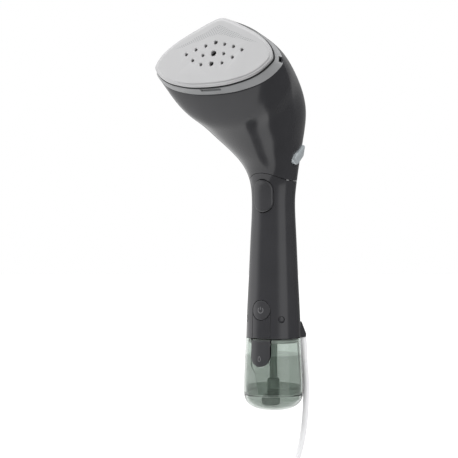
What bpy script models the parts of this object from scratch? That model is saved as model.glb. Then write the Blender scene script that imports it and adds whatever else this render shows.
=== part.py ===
"""Handheld garment steamer: triangular steam head, slim handle, clear water tank and mains lead.

World frame: +Z runs up the handle's axis, the steam plate faces -Y and a little up, and the
origin is on the handle's axis in the middle of the grip.
"""
import math

import bmesh
import bpy
import numpy as np
from mathutils import Matrix, Vector

MM = 0.001

# ---------------------------------------------------------------- driving dimensions
GAP = 0.3 * MM                     # clearance between neighbouring pieces
SIDES = 40                         # facets round the handle, head and tank

PLATE_CENTRE = Vector((0, -111.1, 188.7)) * MM
PLATE_TILT = math.radians(20.9)    # how far the plate's face looks up
PLATE_HALF_WIDTH = 61.2 * MM
PLATE_TOP = 36.5 * MM              # from the plate's centre to its tip
PLATE_BOTTOM = -32.5 * MM
PLATE_THICKNESS = 3.0 * MM
# right half of the plate's outline, tip first, as (across, up)
PLATE_OUTLINE = [
    (0, 36.5), (11, 33.2), (21.3, 28), (31.7, 22.4), (42.2, 16), (51.8, 8.4), (58.3, 0.5),
    (61.2, -7), (60.6, -10.9), (55.5, -17), (49, -22.1), (39.5, -26.6), (27, -30), (15.8, -31.8),
    (0, -32.5),
]
# steam holes, each row from the middle out: (across, up, diameter)
HOLE_ROWS = [
    [(0, 10.9, 3.4), (9.9, 8.3, 2.8), (19.7, 5.2, 2.8), (29.1, 1.1, 2.8)],
    [(0, 0, 5.2), (10.9, -1.2, 2.8), (20.8, -5.6, 2.8)],
    [(0, -10.4, 4.2), (11.0, -10.4, 2.8)],
]
HOLE_CHAMFER = 0.5 * MM

GASKET_DEPTH = (3.3 * MM, 4.7 * MM)     # behind the plate's face
BAND_DEPTH = 5.0 * MM
RIM_DEPTH = 11.0 * MM                   # head shell's rim behind the plate, at its centre
RIM_TILT = math.radians(12.9)
CHAMBER_DEPTH = (3.4 * MM, 17.0 * MM)
CHAMBER_FLOOR = 12.5 * MM
COVER_DEPTH = (17.3 * MM, 19.8 * MM)
SHIELD_DEPTH = (31.0 * MM, 32.4 * MM)

# head shell: sections fan out round a line below the plate, from the rim (0) to the neck (1)
NECK_Z = 76.0 * MM
NECK_RADIUS = 22.4 * MM
HEAD_STATIONS = [0, 0.2, 0.4, 0.6, 0.8, 1]
HEAD_UNDERSIDE = [62.5, 62.5, 69.5, 84]     # fan radius to the underside, inner stations
HEAD_BACK = [162, 168, 167, 158]        # fan radius to the top and back
HEAD_HALF_WIDTH = [66.0, 61.4, 53, 45, 31, 22.4]
HEAD_ROUNDNESS = [0, 0.1, 0.4, 0.76, 1, 1]
RIM_OVERHANG = 1.0 * MM
HEAD_WALL = 2.4 * MM

SEAM_Z = 78.3 * MM                      # seam between head and handle, lowest at the sides
SEAM_LIFT_FRONT = 7.0 * MM
SEAM_LIFT_BACK = 2.0 * MM

HANDLE_WALL = 2.3 * MM
# outer radius of the handle: (height, radius)
HANDLE_PROFILE = [
    (-72.6, 26.5), (-54, 25.9), (-13, 23.9), (23, 22.3), (45.6, 21.2), (63, 21.1), (76, 22.4),
]
HANDLE_RINGS = [-72.6, -54, -29, -4, 23, 45.6, 60]
HANDLE_INNER_RINGS = [-72.6, -20, 23, 55]

TRIGGER_CENTRE_Z = 63.5 * MM
TRIGGER_SIZE = (20.0 * MM, 31.2 * MM)
TRIGGER_PROUD = 1.0 * MM
TRIGGER_BACK = -16.0 * MM
BUTTON_GAP = 0.4 * MM

POWER_Z = -45.4 * MM
POWER_DIAMETER = 18.6 * MM
POWER_BACK = -20.5 * MM

LATCH_WIDTH = 18.8 * MM
LATCH_Z = (-72.3 * MM, -55.1 * MM)
LATCH_BACK = -22.6 * MM

LOCK_CENTRE = Vector((28.1, 0, 104)) * MM
LOCK_NORMAL = Vector((1, 0.25, -0.2)).normalized()
LOCK_SIZE = (25.0 * MM, 11.5 * MM)
LOCK_SLOPE = math.radians(30)           # the button climbs towards the back
LOCK_PROUD = 3.2 * MM
LOCK_DEPTH = 4.6 * MM

LENS_ANGLE = math.radians(46)           # indicator lenses, either side of the front
LENS_Z = -54.2 * MM
LENS_RADIUS = 3.0                       # in millimetres

TANK_TOP = -73.0 * MM
TANK_SEAM = -125.8 * MM
TANK_BOTTOM = -142.8 * MM
BOWL_SPIGOT_TOP = -117.8 * MM
TANK_WALL = 1.8 * MM
# outer surfaces of the tank's body and bowl: (height, radius)
TANK_PROFILE = [(-73.0, 26.7), (-85, 27.3), (-100, 28.0), (-115, 28.6), (-125.6, 28.7)]
BOWL_PROFILE = [
    (-126.0, 28.7), (-130, 28.2), (-134.5, 26.4), (-138.4, 22.8), (-141.2, 17), (-142.6, 9),
]

DOOR_WIDTH = 19.8 * MM
DOOR_BOTTOM = -99.4 * MM
DOOR_TOP = -74.4 * MM
DOOR_PROUD = 0.5 * MM
DOOR_AXIS = Vector((0, -23.4, -77.6)) * MM
DOOR_SWEEP = 4.7 * MM               # the door stays within this radius above its hinge

CORD_ANGLE = math.radians(52)           # cord outlet, from +X towards the back
CORD_DIAMETER = 6.0 * MM
RELIEF_TOP = Vector((31.0, 0, -73.9)) * MM      # (out from the axis, -, height)
RELIEF_TIP = Vector((33.0, 0, -97.0)) * MM
RELIEF_RADII = (3.6 * MM, 3.1 * MM)
GUARD_BOTTOM = -73.3 * MM
FLOOR_Z = -240.0 * MM
COIL_CENTRE = Vector((12, -19)) * MM
COIL_RADIUS = 33.0 * MM
COIL_HALF = 9.2 * MM
PLUG_ANGLE = math.radians(200)          # where the cord leaves the coil's outer turn for the plug
PLUG_RUN = 31.0 * MM
PLUG_LENGTH = 40.0 * MM
PIN_PITCH = 19.0 * MM
# the lead between its strain relief and the coil, chosen by hand
CORD_ROUTE = [
    (20.34, 26.03, -97.3), (20.9, 26.8, -106), (21.4, 27.4, -119), (21.3, 27.3, -134),
    (20.8, 26.6, -150), (19.7, 25.3, -165), (17.8, 23.4, -179), (14.4, 21.0, -193),
    (9.0, 17.6, -205.5), (1.6, 13.2, -214), (-6.6, 8.2, -217.9),
]


# ---------------------------------------------------------------- materials
COLOURS = {
    "plate_silver": ((0.72, 0.72, 0.73), 0.30, 0.55),
    "black_plastic": ((0.045, 0.045, 0.05), 0.22, 0.0),
    "button_plastic": ((0.035, 0.035, 0.04), 0.35, 0.0),
    "band_grey": ((0.30, 0.31, 0.32), 0.45, 0.0),
    "silver_button": ((0.50, 0.54, 0.56), 0.28, 0.4),
    "tank_clear": ((0.42, 0.50, 0.45), 0.08, 0.0),
    "rubber_dark": ((0.03, 0.03, 0.03), 0.60, 0.0),
    "cord_white": ((0.80, 0.80, 0.79), 0.45, 0.0),
    "cast_aluminium": ((0.55, 0.56, 0.57), 0.45, 1.0),
    "steel": ((0.62, 0.62, 0.63), 0.30, 1.0),
    "inner_plastic": ((0.70, 0.70, 0.68), 0.50, 0.0),
    "silicone": ((0.75, 0.74, 0.70), 0.50, 0.0),
    "board_green": ((0.05, 0.22, 0.10), 0.50, 0.0),
    "copper": ((0.60, 0.28, 0.14), 0.40, 1.0),
    "lens": ((0.04, 0.04, 0.045), 0.15, 0.0),
    "mica": ((0.55, 0.50, 0.42), 0.60, 0.0),
}


def material_for(node, kind):
    """A Principled material of the node's own, in one of the object's finishes."""
    colour, roughness, metallic = COLOURS[kind]
    material = bpy.data.materials.new(node + "_material")
    material.use_nodes = True
    shader = material.node_tree.nodes["Principled BSDF"]
    shader.inputs["Base Color"].default_value = (*colour, 1)
    shader.inputs["Roughness"].default_value = roughness
    shader.inputs["Metallic"].default_value = metallic
    if kind == "tank_clear":
        shader.inputs["Transmission Weight"].default_value = 0.8
    return material


# ---------------------------------------------------------------- mesh helpers
def clear_scene():
    for old in list(bpy.data.objects):
        bpy.data.objects.remove(old, do_unlink=True)


def finish_mesh(node, shape, kind, smooth_angle=35):
    """Turn a bmesh into a named object with outward faces and smooth shading."""
    bmesh.ops.remove_doubles(shape, verts=shape.verts, dist=1e-7)
    bmesh.ops.recalc_face_normals(shape, faces=shape.faces)
    mesh = bpy.data.meshes.new(node)
    shape.to_mesh(mesh)
    shape.free()
    mesh.shade_smooth()
    mesh.set_sharp_from_angle(angle=math.radians(smooth_angle))
    piece = bpy.data.objects.new(node, mesh)
    bpy.context.scene.collection.objects.link(piece)
    if kind:
        piece.data.materials.append(material_for(node, kind))
    return piece


def loft(node, rings, kind, ring_shaped=False):
    """Join equal rings of points. Ends are capped, or joined to each other when ring_shaped."""
    shape = bmesh.new()
    loops = [[shape.verts.new(point) for point in ring] for ring in rings]
    pairs = list(zip(loops, loops[1:]))
    if ring_shaped:
        pairs.append((loops[-1], loops[0]))
    for lower, upper in pairs:
        for k in range(len(lower)):
            after = (k + 1) % len(lower)
            shape.faces.new((lower[k], lower[after], upper[after], upper[k]))
    if not ring_shaped:
        shape.faces.new(loops[0])
        shape.faces.new(loops[-1])
    return finish_mesh(node, shape, kind)


def circle(radius, height, sides=SIDES, centre=(0, 0)):
    turn = 2 * math.pi / sides
    ring = []
    for k in range(sides):
        across, along = radius * math.cos(k * turn), radius * math.sin(k * turn)
        ring.append(Vector((centre[0] + across, centre[1] + along, height)))
    return ring


def turned(node, profile, kind, sides=24, ring_shaped=False):
    """A body turned about the local Z axis from (radius, height) points in millimetres."""
    rings = [circle(radius * MM, height * MM, sides) for radius, height in profile]
    return loft(node, rings, kind, ring_shaped)


def box(node, low, high, kind, bevel=0.0):
    """A box between two corners in millimetres, with its edges rounded when bevel is set."""
    low, high = Vector(low) * MM, Vector(high) * MM
    shape = bmesh.new()
    bmesh.ops.create_cube(shape, size=1)
    bmesh.ops.scale(shape, vec=high - low, verts=shape.verts)
    bmesh.ops.translate(shape, vec=(low + high) / 2, verts=shape.verts)
    if bevel:
        bmesh.ops.bevel(shape, geom=shape.edges[:], offset=bevel * MM, segments=2, affect="EDGES")
    return finish_mesh(node, shape, kind)


def pill(node, size, depth, kind, arc_steps=10):
    """A prism with round ends, long along local Y, from z = -depth to z = depth."""
    half_width, half_length = size[0] / 2, size[1] / 2
    straight = half_length - half_width
    outline = []
    for side in (1, -1):
        for k in range(arc_steps + 1):
            angle = math.pi * k / arc_steps
            across = side * half_width * math.cos(angle)
            outline.append((across, side * (straight + half_width * math.sin(angle))))
    rings = [[Vector((x, y, z)) for x, y in outline] for z in (-depth, depth)]
    return loft(node, rings, kind)


def tube(node, points, radius, kind, resolution=2):
    """A round solid along a smooth curve through points in metres."""
    curve = bpy.data.curves.new(node, "CURVE")
    curve.dimensions = "3D"
    curve.bevel_depth = radius
    curve.bevel_resolution = resolution
    curve.use_fill_caps = True
    spline = curve.splines.new("POLY")
    spline.points.add(len(points) - 1)
    for target, point in zip(spline.points, points):
        target.co = (*point, 1)
    piece = bpy.data.objects.new(node, curve)
    bpy.context.scene.collection.objects.link(piece)
    if kind:
        piece.data.materials.append(material_for(node, kind))
    return piece


def smooth_path(points, steps):
    """Points along a smooth curve through the given ones, with steps to each span."""
    points = [Vector(point) for point in points]
    ends = [2 * points[0] - points[1]] + points + [2 * points[-1] - points[-2]]
    path = []
    for before, start, end, after in zip(ends, ends[1:], ends[2:], ends[3:]):
        for k in range(steps):
            t = k / steps
            bend = (end - before) * t + (2 * before - 5 * start + 4 * end - after) * t ** 2
            path.append(start + (bend + (3 * start - before - 3 * end + after) * t ** 3) / 2)
    path.append(points[-1])
    return path


def aim(piece, origin, out, up=Vector((0, 0, 1))):
    """Place a piece with its local Z along out and its local Y as near up as it can be."""
    out = Vector(out).normalized()
    side = Vector(up).cross(out).normalized()
    frame = Matrix((side, out.cross(side), out)).transposed().to_4x4()
    piece.matrix_world = Matrix.Translation(origin) @ frame
    return piece


def guide(piece):
    """Mark a cutter or a guide, which is no part of the object."""
    piece.hide_render = True
    piece.display_type = "WIRE"
    return piece


def boolean(piece, other, operation="DIFFERENCE"):
    step = piece.modifiers.new(operation.lower(), "BOOLEAN")
    step.operation = operation
    step.object = guide(other)
    step.solver = "EXACT"


# ---------------------------------------------------------------- outlines and surfaces
def smooth_value(stations, values, at):
    """The value at a station, on a smooth curve through the given values."""
    span = max(i for i in range(len(stations) - 1) if i == 0 or stations[i] <= at)
    slopes = []
    for i in (span, span + 1):
        low, high = max(i - 1, 0), min(i + 1, len(stations) - 1)
        slopes.append((values[high] - values[low]) / (stations[high] - stations[low]))
    width = stations[span + 1] - stations[span]
    t = (at - stations[span]) / width
    start, end = values[span], values[span + 1]
    ease = t * t * (3 - 2 * t)
    bend = t * (1 - t) * width * (slopes[0] * (1 - t) - slopes[1] * t)
    return start + (end - start) * ease + bend


def unit_outline():
    """The plate's outline as distances from its middle, for a half width and half height of 1."""
    right = [Vector((x, y, 0)) for x, y in PLATE_OUTLINE]
    left = [Vector((-x, y, 0)) for x, y in PLATE_OUTLINE[-2:0:-1]]
    loop = right + left
    path = smooth_path(loop[-2:] + loop + loop[:3], 6)
    middle = (PLATE_TOP + PLATE_BOTTOM) / 2 / MM
    half_height = (PLATE_TOP - PLATE_BOTTOM) / 2 / MM
    across = np.array([point.x for point in path]) / (PLATE_HALF_WIDTH / MM)
    up = (np.array([point.y for point in path]) - middle) / half_height
    angles = np.arctan2(up, across)
    order = np.argsort(angles)
    return angles[order], np.hypot(across, up)[order]


OUTLINE_ANGLES, OUTLINE_RADII = unit_outline()
RING_ANGLES = [2 * math.pi * k / SIDES - math.pi / 2 for k in range(SIDES)]


def outline_point(angle):
    """Point of the unit outline in a direction: angle -90 degrees is the plate's lower edge."""
    radius = float(np.interp(angle, OUTLINE_ANGLES, OUTLINE_RADII, period=2 * math.pi))
    return radius * math.cos(angle), radius * math.sin(angle)


def plate_ring(offset, depth):
    """The plate's outline, grown by offset, at a depth behind the plate's face (plate frame)."""
    middle = (PLATE_TOP + PLATE_BOTTOM) / 2
    half_height = (PLATE_TOP - PLATE_BOTTOM) / 2
    ring = []
    for angle in RING_ANGLES:
        across, up = outline_point(angle)
        across, up = across * PLATE_HALF_WIDTH, up * half_height
        grow = 1 + offset / math.hypot(across, up)
        ring.append(Vector((across * grow, middle + up * grow, -depth)))
    return ring


PLATE_UP = Vector((0, math.sin(PLATE_TILT), math.cos(PLATE_TILT)))
PLATE_OUT = Vector((0, -math.cos(PLATE_TILT), math.sin(PLATE_TILT)))
RIM_OUT = Vector((0, -math.cos(RIM_TILT), math.sin(RIM_TILT)))


def on_plate(piece):
    """Place a piece that is drawn in the plate's own frame."""
    return aim(piece, PLATE_CENTRE, PLATE_OUT, PLATE_UP)


def plate_to_world(across, up, depth):
    return PLATE_CENTRE + Vector((across, 0, 0)) + PLATE_UP * up - PLATE_OUT * depth


RIM_CENTRE = PLATE_CENTRE - PLATE_OUT * RIM_DEPTH
FAN_REACH = (RIM_CENTRE.z - NECK_Z) / math.cos(RIM_TILT)
FAN_Y = RIM_CENTRE.y - FAN_REACH * math.sin(RIM_TILT)
FAN_ANGLE = math.pi / 2 - RIM_TILT


def head_point(station, angle, inset=0.0):
    """Point of the head's surface: station 0 is the rim and 1 the neck, angle -90 the front."""
    rim = (FAN_REACH + PLATE_BOTTOM - RIM_OVERHANG, FAN_REACH + PLATE_TOP + RIM_OVERHANG)
    neck = (-FAN_Y - NECK_RADIUS, -FAN_Y + NECK_RADIUS)
    low = smooth_value(HEAD_STATIONS, [rim[0]] + [r * MM for r in HEAD_UNDERSIDE] + [neck[0]], station)
    high = smooth_value(HEAD_STATIONS, [rim[1]] + [r * MM for r in HEAD_BACK] + [neck[1]], station)
    half_width = smooth_value(HEAD_STATIONS, [w * MM for w in HEAD_HALF_WIDTH], station)
    roundness = min(1, max(0, smooth_value(HEAD_STATIONS, HEAD_ROUNDNESS, station)))
    sharp = outline_point(angle)
    across = (1 - roundness) * sharp[0] + roundness * math.cos(angle)
    up = (1 - roundness) * sharp[1] + roundness * math.sin(angle)
    across, up = across * half_width, up * (high - low) / 2
    grow = 1 - inset / math.hypot(across, up)
    reach = (low + high) / 2 + up * grow
    turn = FAN_ANGLE * (1 - station)
    return Vector((across * grow, FAN_Y + reach * math.cos(turn), NECK_Z + reach * math.sin(turn)))


def seam_station(angle, clearance):
    """Where the head ends and the handle starts, in a direction round the neck."""
    front = -math.sin(angle)
    lift = (SEAM_LIFT_FRONT if front > 0 else SEAM_LIFT_BACK) * front ** 2
    reach = -FAN_Y + NECK_RADIUS * math.sin(angle)
    return 1 - (SEAM_Z + lift + clearance - NECK_Z) / (reach * FAN_ANGLE)


def handle_radius(height):
    heights = [h * MM for h, r in HANDLE_PROFILE]
    return smooth_value(heights, [r * MM for h, r in HANDLE_PROFILE], height)


def ring_at(radius, height):
    """A horizontal ring whose points match those of the head's sections."""
    return [Vector((radius * math.cos(a), radius * math.sin(a), height)) for a in RING_ANGLES]


def handle_rings(inset, heights):
    """Rings up the handle at heights in millimetres, and on to the seam."""
    rings = [ring_at(handle_radius(h * MM) - inset, h * MM) for h in heights]
    for part in (0, 0.5, 1):
        stations = [1 - part * (1 - seam_station(a, -GAP / 2)) for a in RING_ANGLES]
        rings.append([head_point(s, a, inset) for s, a in zip(stations, RING_ANGLES)])
    return rings


def head_rings(inset, count):
    """Rings of the head's surface from the rim to the seam."""
    rings = []
    for k in range(count + 1):
        rings.append([head_point(k / count * seam_station(a, GAP / 2), a, inset) for a in RING_ANGLES])
    return rings


def front_form(node, proud):
    """A guide: the handle's outer surface, grown, and carried on above the seam."""
    rings = [ring_at(handle_radius(h * MM) + proud, h * MM) for h in HANDLE_RINGS]
    rings[0] = ring_at(handle_radius(HANDLE_RINGS[0] * MM) + proud, -80 * MM)
    for station in (1, 0.96, 0.92):
        rings.append([head_point(station, a, -proud) for a in RING_ANGLES])
    return guide(loft(node, rings, None))


# ---------------------------------------------------------------- steam head
def make_steam_plate():
    rings = [
        plate_ring(-0.6 * MM, PLATE_THICKNESS),
        plate_ring(0, PLATE_THICKNESS - 0.6 * MM),
        plate_ring(0, 1.5 * MM),
        plate_ring(-0.35 * MM, 0.85 * MM),
        plate_ring(-1.1 * MM, 0.6 * MM),
        plate_ring(-2.3 * MM, 0.6 * MM),
        plate_ring(-2.9 * MM, 0.15 * MM),
        plate_ring(-3.5 * MM, 0),
    ]
    plate = on_plate(loft("steam_plate", rings, "plate_silver"))
    boolean(plate, make_hole_cutters())


def make_hole_cutters():
    """The steam holes, each with a chamfered mouth, as one guide."""
    shape = bmesh.new()
    for row in HOLE_ROWS:
        for across, up, diameter in row:
            for side in ((1, -1) if across else (1,)):
                add_hole(shape, (side * across * MM, up * MM), diameter * MM / 2)
    return on_plate(finish_mesh("hole_cutters", shape, None))


def add_hole(shape, centre, radius):
    below, above = -PLATE_THICKNESS - 1 * MM, 1 * MM
    profile = [(radius, below), (radius, -HOLE_CHAMFER), (radius + HOLE_CHAMFER + above, above)]
    loops = [[shape.verts.new(p) for p in circle(r, z, 10, centre)] for r, z in profile]
    for lower, upper in zip(loops, loops[1:]):
        for k in range(10):
            after = (k + 1) % 10
            shape.faces.new((lower[k], lower[after], upper[after], upper[k]))
    shape.faces.new(loops[0][::-1])
    shape.faces.new(loops[-1])


def make_gasket():
    near, far = GASKET_DEPTH
    rings = [
        plate_ring(0.1 * MM, near), plate_ring(0.1 * MM, far),
        plate_ring(-6 * MM, far), plate_ring(-6 * MM, near),
    ]
    on_plate(loft("plate_gasket", rings, "rubber_dark", ring_shaped=True))


def make_insulating_band():
    """The wedge-shaped ring between the hot plate and the head shell."""
    def behind_plate(offset):
        return [plate_to_world(p.x, p.y, BAND_DEPTH) for p in plate_ring(offset, BAND_DEPTH)]

    def on_rim(inset):
        return [head_point(0, a, inset) + RIM_OUT * GAP for a in RING_ANGLES]

    rings = [behind_plate(0.3 * MM), on_rim(0), on_rim(5 * MM), behind_plate(-5.2 * MM)]
    band = loft("insulating_band", rings, "band_grey", ring_shaped=True)
    notch = guide(box("band_notch", (-10.5, -36.5, -9.4), (10.5, -31.4, -4.0), None))
    boolean(band, on_plate(notch))
    for side, name in ((1, "left"), (-1, "right")):
        low = (min(side * 57, side * 66), -9, -16)
        high = (max(side * 57, side * 66), -3.5, -8.3)
        boolean(band, on_plate(guide(box("band_slot_" + name, low, high, None))))


def make_head_shell():
    outer = head_rings(0, 12)
    inner = head_rings(HEAD_WALL, 7)
    shell = loft("head_shell", outer + inner[::-1], "black_plastic", ring_shaped=True)
    size = (LOCK_SIZE[1] + 2 * BUTTON_GAP, LOCK_SIZE[0] + 2 * BUTTON_GAP)
    boolean(shell, on_lock(guide(pill("lock_opening", size, 8 * MM, None))))


def on_lock(piece):
    """Place a piece that is drawn in the side button's own frame."""
    along = Vector((0, math.cos(LOCK_SLOPE), math.sin(LOCK_SLOPE)))
    return aim(piece, LOCK_CENTRE, LOCK_NORMAL, along)


def make_steam_lock():
    """The silver thumb button on the neck's side, with its switch."""
    size = (LOCK_SIZE[1], LOCK_SIZE[0])
    prism = on_lock(pill("steam_lock_button", size, LOCK_DEPTH, "silver_button"))
    stations = [0.55, 0.6, 0.66, 0.72, 0.78, 0.84, 0.9, 0.96]
    rings = [[head_point(s, a, -LOCK_PROUD) for a in RING_ANGLES] for s in stations]
    boolean(prism, guide(loft("lock_form", rings, None)), "INTERSECT")
    on_lock(box("steam_lock_switch", (-4, -5, -11), (4, 5, -6.4), "inner_plastic", 0.4))


def make_steam_chamber():
    near, far = CHAMBER_DEPTH
    rings = [
        plate_ring(-11.5 * MM, CHAMBER_FLOOR), plate_ring(-10 * MM, near), plate_ring(-7 * MM, near),
        plate_ring(-9 * MM, far),
    ]
    chamber = on_plate(loft("steam_chamber", rings, "cast_aluminium"))
    bore = guide(turned("chamber_bore", [(2, -20), (2, -8)], None, 12))
    bore.data.transform(Matrix.Translation((0, -8 * MM, 0)))
    boolean(chamber, on_plate(bore))
    near, far = COVER_DEPTH
    rings = [plate_ring(-9.5 * MM, near), plate_ring(-9.5 * MM, far)]
    cover = on_plate(loft("chamber_cover", rings, "cast_aluminium"))
    bore = guide(turned("cover_bore", [(2.4, -21), (2.4, -16)], None, 12))
    bore.data.transform(Matrix.Translation((0, -8 * MM, 0)))
    boolean(cover, on_plate(bore))


def make_heater():
    """The sheathed element behind the chamber, with its terminals, thermostat and fuse."""
    depth = COVER_DEPTH[1] + GAP + 3.2 * MM
    right = [(12, 12), (24, 5), (33, -4), (38, -14)]
    bends = [(-x, y) for x, y in right[::-1]] + [(0, 14.5)] + right
    path = [plate_to_world(x * MM, y * MM, depth) for x, y in bends]
    tube("heating_element", smooth_path(path, 2), 3.2 * MM, "steel", 2)
    for side, name in ((-1, "left"), (1, "right")):
        pin = turned("element_terminal_" + name, [(1.2, 0), (1.2, 7)], "steel", 12)
        base = plate_to_world(side * 38.2 * MM, -14.4 * MM, depth)
        aim(pin, base, Vector((side * 0.45, 0, 0)) - PLATE_UP * 0.89)
    disc = turned("thermostat", [(5.5, -27.5), (5.5, -26), (7.5, -26), (7.5, -20.1)], "steel", 20)
    disc.data.transform(Matrix.Translation((17 * MM, -12 * MM, 0)))
    on_plate(disc)
    fuse = turned("thermal_fuse", [(2.2, -6), (2.2, 6)], "mica", 12)
    aim(fuse, plate_to_world(-17 * MM, -12 * MM, COVER_DEPTH[1] + GAP + 2.2 * MM), (1, 0, 0))


def make_steam_inlet():
    profile = [(5, -22.2), (5, -20.1), (0.9, -20.1), (0.9, -29), (2.4, -29), (2.4, -22.2)]
    inlet = turned("steam_inlet", profile, "copper", 16, ring_shaped=True)
    inlet.data.transform(Matrix.Translation((0, -8 * MM, 0)))
    on_plate(inlet)


def make_cover_screws():
    for name, across, up in (("left", -45, -10), ("right", 45, -10), ("top", 0, 23)):
        screw = turned("cover_screw_" + name, [(2.7, -22.2), (2.7, -20.1)], "steel", 12)
        screw.data.transform(Matrix.Translation((across * MM, up * MM, 0)))
        on_plate(screw)


def make_heat_shield():
    near, far = SHIELD_DEPTH
    rings = [plate_ring(-12 * MM, near), plate_ring(-12 * MM, far)]
    shield = on_plate(loft("heat_shield", rings, "mica"))
    bore = guide(turned("shield_bore", [(4.5, -34), (4.5, -30)], None, 16))
    bore.data.transform(Matrix.Translation((0, -8 * MM, 0)))
    boolean(shield, on_plate(bore))


def make_neck_sleeve():
    profile = [(16.2, 81), (18.2, 81), (18.2, 96), (16.2, 96)]
    turned("neck_sleeve", profile, "inner_plastic", 32, ring_shaped=True)


# ---------------------------------------------------------------- handle
def front_prism(node, size, centre_z, kind, back):
    """A pill-shaped prism through the handle's front wall, reaching back to y = back."""
    front = -30 * MM
    prism = pill(node, size, (back - front) / 2, kind)
    aim(prism, Vector((0, (back + front) / 2, centre_z)), (0, -1, 0))
    return prism


def make_handle_shell():
    outer = handle_rings(0, HANDLE_RINGS)
    inner = handle_rings(HANDLE_WALL, HANDLE_INNER_RINGS)
    shell = loft("handle_shell", outer + inner[::-1], "black_plastic", ring_shaped=True)
    clear = 2 * BUTTON_GAP
    size = (TRIGGER_SIZE[0] + clear, TRIGGER_SIZE[1] + clear)
    boolean(shell, guide(front_prism("trigger_opening", size, TRIGGER_CENTRE_Z, None, -10 * MM)))
    size = (POWER_DIAMETER + clear, POWER_DIAMETER + clear + 0.02 * MM)
    boolean(shell, guide(front_prism("power_opening", size, POWER_Z, None, -10 * MM)))
    half = LATCH_WIDTH / 2 / MM + 0.4
    slot = box("latch_opening", (-half, -30, -76), (half, -18, LATCH_Z[1] / MM + 0.3), None)
    boolean(shell, guide(slot))
    for side, name in ((1, "left"), (-1, "right")):
        bore = turned("lens_bore_" + name, [(LENS_RADIUS + 0.3, 20), (LENS_RADIUS + 0.3, 30)], None, 20)
        boolean(shell, guide(aim(bore, Vector((0, 0, LENS_Z)), lens_direction(side))))
    bore = turned("cord_bore", [(4.2, 14), (4.2, 34)], None, 16)
    outward = Vector((math.cos(CORD_ANGLE), math.sin(CORD_ANGLE), 0))
    boolean(shell, guide(aim(bore, Vector((0, 0, -65.5 * MM)), outward)))


def lens_direction(side):
    return Vector((side * math.sin(LENS_ANGLE), -math.cos(LENS_ANGLE), 0))


def make_indicator_lenses():
    for side, name in ((1, "left"), (-1, "right")):
        profile = [(LENS_RADIUS, 23.4), (LENS_RADIUS, 25.8)]
        lens = turned("indicator_lens_" + name, profile, "lens", 20)
        aim(lens, Vector((0, 0, LENS_Z)), lens_direction(side))


def make_trigger():
    trigger = front_prism("trigger_button", TRIGGER_SIZE, TRIGGER_CENTRE_Z, "button_plastic",
                          TRIGGER_BACK)
    boolean(trigger, front_form("trigger_form", TRIGGER_PROUD), "INTERSECT")
    plunger = turned("switch_plunger", [(1.5, 0), (1.5, 3.2)], "silicone", 12)
    aim(plunger, Vector((0, TRIGGER_BACK + GAP, 64 * MM)), (0, 1, 0))
    switch = box("trigger_switch", (-5, -12.4, 56), (5, -5, 72), "inner_plastic", 0.4)
    bore = turned("plunger_bore", [(1.9, -6), (1.9, 3)], None, 12)
    boolean(switch, guide(aim(bore, Vector((0, -12 * MM, 64 * MM)), (0, 1, 0))))


def make_power_button():
    size = (POWER_DIAMETER, POWER_DIAMETER + 0.02 * MM)
    button = front_prism("power_button", size, POWER_Z, "button_plastic", POWER_BACK)
    boolean(button, front_form("power_form", 0.2 * MM), "INTERSECT")
    box("power_switch", (-5.5, -19.2, -52), (5.5, -13, -39), "inner_plastic", 0.4)


def make_release_latch():
    half = LATCH_WIDTH / 2 / MM
    low = (-half, -30, LATCH_Z[0] / MM)
    high = (half, LATCH_BACK / MM, LATCH_Z[1] / MM)
    latch = box("tank_release_latch", low, high, "button_plastic")
    boolean(latch, front_form("latch_form", 0.1 * MM), "INTERSECT")


def make_handle_base():
    """The floor of the handle, with the socket that takes the tank's spout."""
    profile = [(7.3, -72.3), (23.8, -72.3), (23.8, -69.6), (9.6, -69.6), (9.6, -58), (7.3, -58)]
    base = turned("handle_base", profile, "inner_plastic", 36, ring_shaped=True)
    boolean(base, guide(box("base_notch", (-10.4, -30, -76), (10.4, -19.8, -66), None)))
    profile = [(2.5, -49.9), (2.5, -55.2), (9.4, -55.2), (9.4, -57.7), (1.2, -57.7), (1.2, -49.9)]
    turned("socket_nozzle", profile, "inner_plastic", 20, ring_shaped=True)


def make_inner_frame():
    frame = box("inner_frame", (-15.5, 3, -48), (15.5, 5, 72), "inner_plastic", 0.5)
    for k, height in enumerate((-30, -5, 20, 45)):
        window = box("frame_window_%d" % (k + 1), (-6, 0, height), (6, 8, height + 9), None)
        boolean(frame, guide(window))
    for k, (side, height) in enumerate(((-1, -38), (1, 58))):
        screw = turned("frame_screw_%d" % (k + 1), [(2.4, 5.3), (2.4, 6.9)], "steel", 12)
        aim(screw, Vector((side * 12.2 * MM, 0, height * MM)), (0, 1, 0))


def make_pump():
    """The solenoid pump with its coil and rubber mounts, ahead of the inner frame."""
    body = [(2.5, -28), (2.5, -20), (8.3, -20), (8.3, 24), (2.5, 24), (2.5, 32)]
    coil = [(8.6, -4), (11, -4), (11, 18), (8.6, 18)]
    lower = [(8.6, -17), (10.4, -17), (10.4, -12.5), (8.6, -12.5)]
    upper = [(8.6, 19.5), (9.9, 19.5), (9.9, 23), (8.6, 23)]
    turned("water_pump", body, "inner_plastic", 20)
    turned("pump_coil", coil, "copper", 20, ring_shaped=True)
    turned("pump_mount_lower", lower, "rubber_dark", 20, ring_shaped=True)
    turned("pump_mount_upper", upper, "rubber_dark", 20, ring_shaped=True)
    for name in ("water_pump", "pump_coil", "pump_mount_lower", "pump_mount_upper"):
        bpy.data.objects[name].location = (0, -9 * MM, 0)


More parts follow.
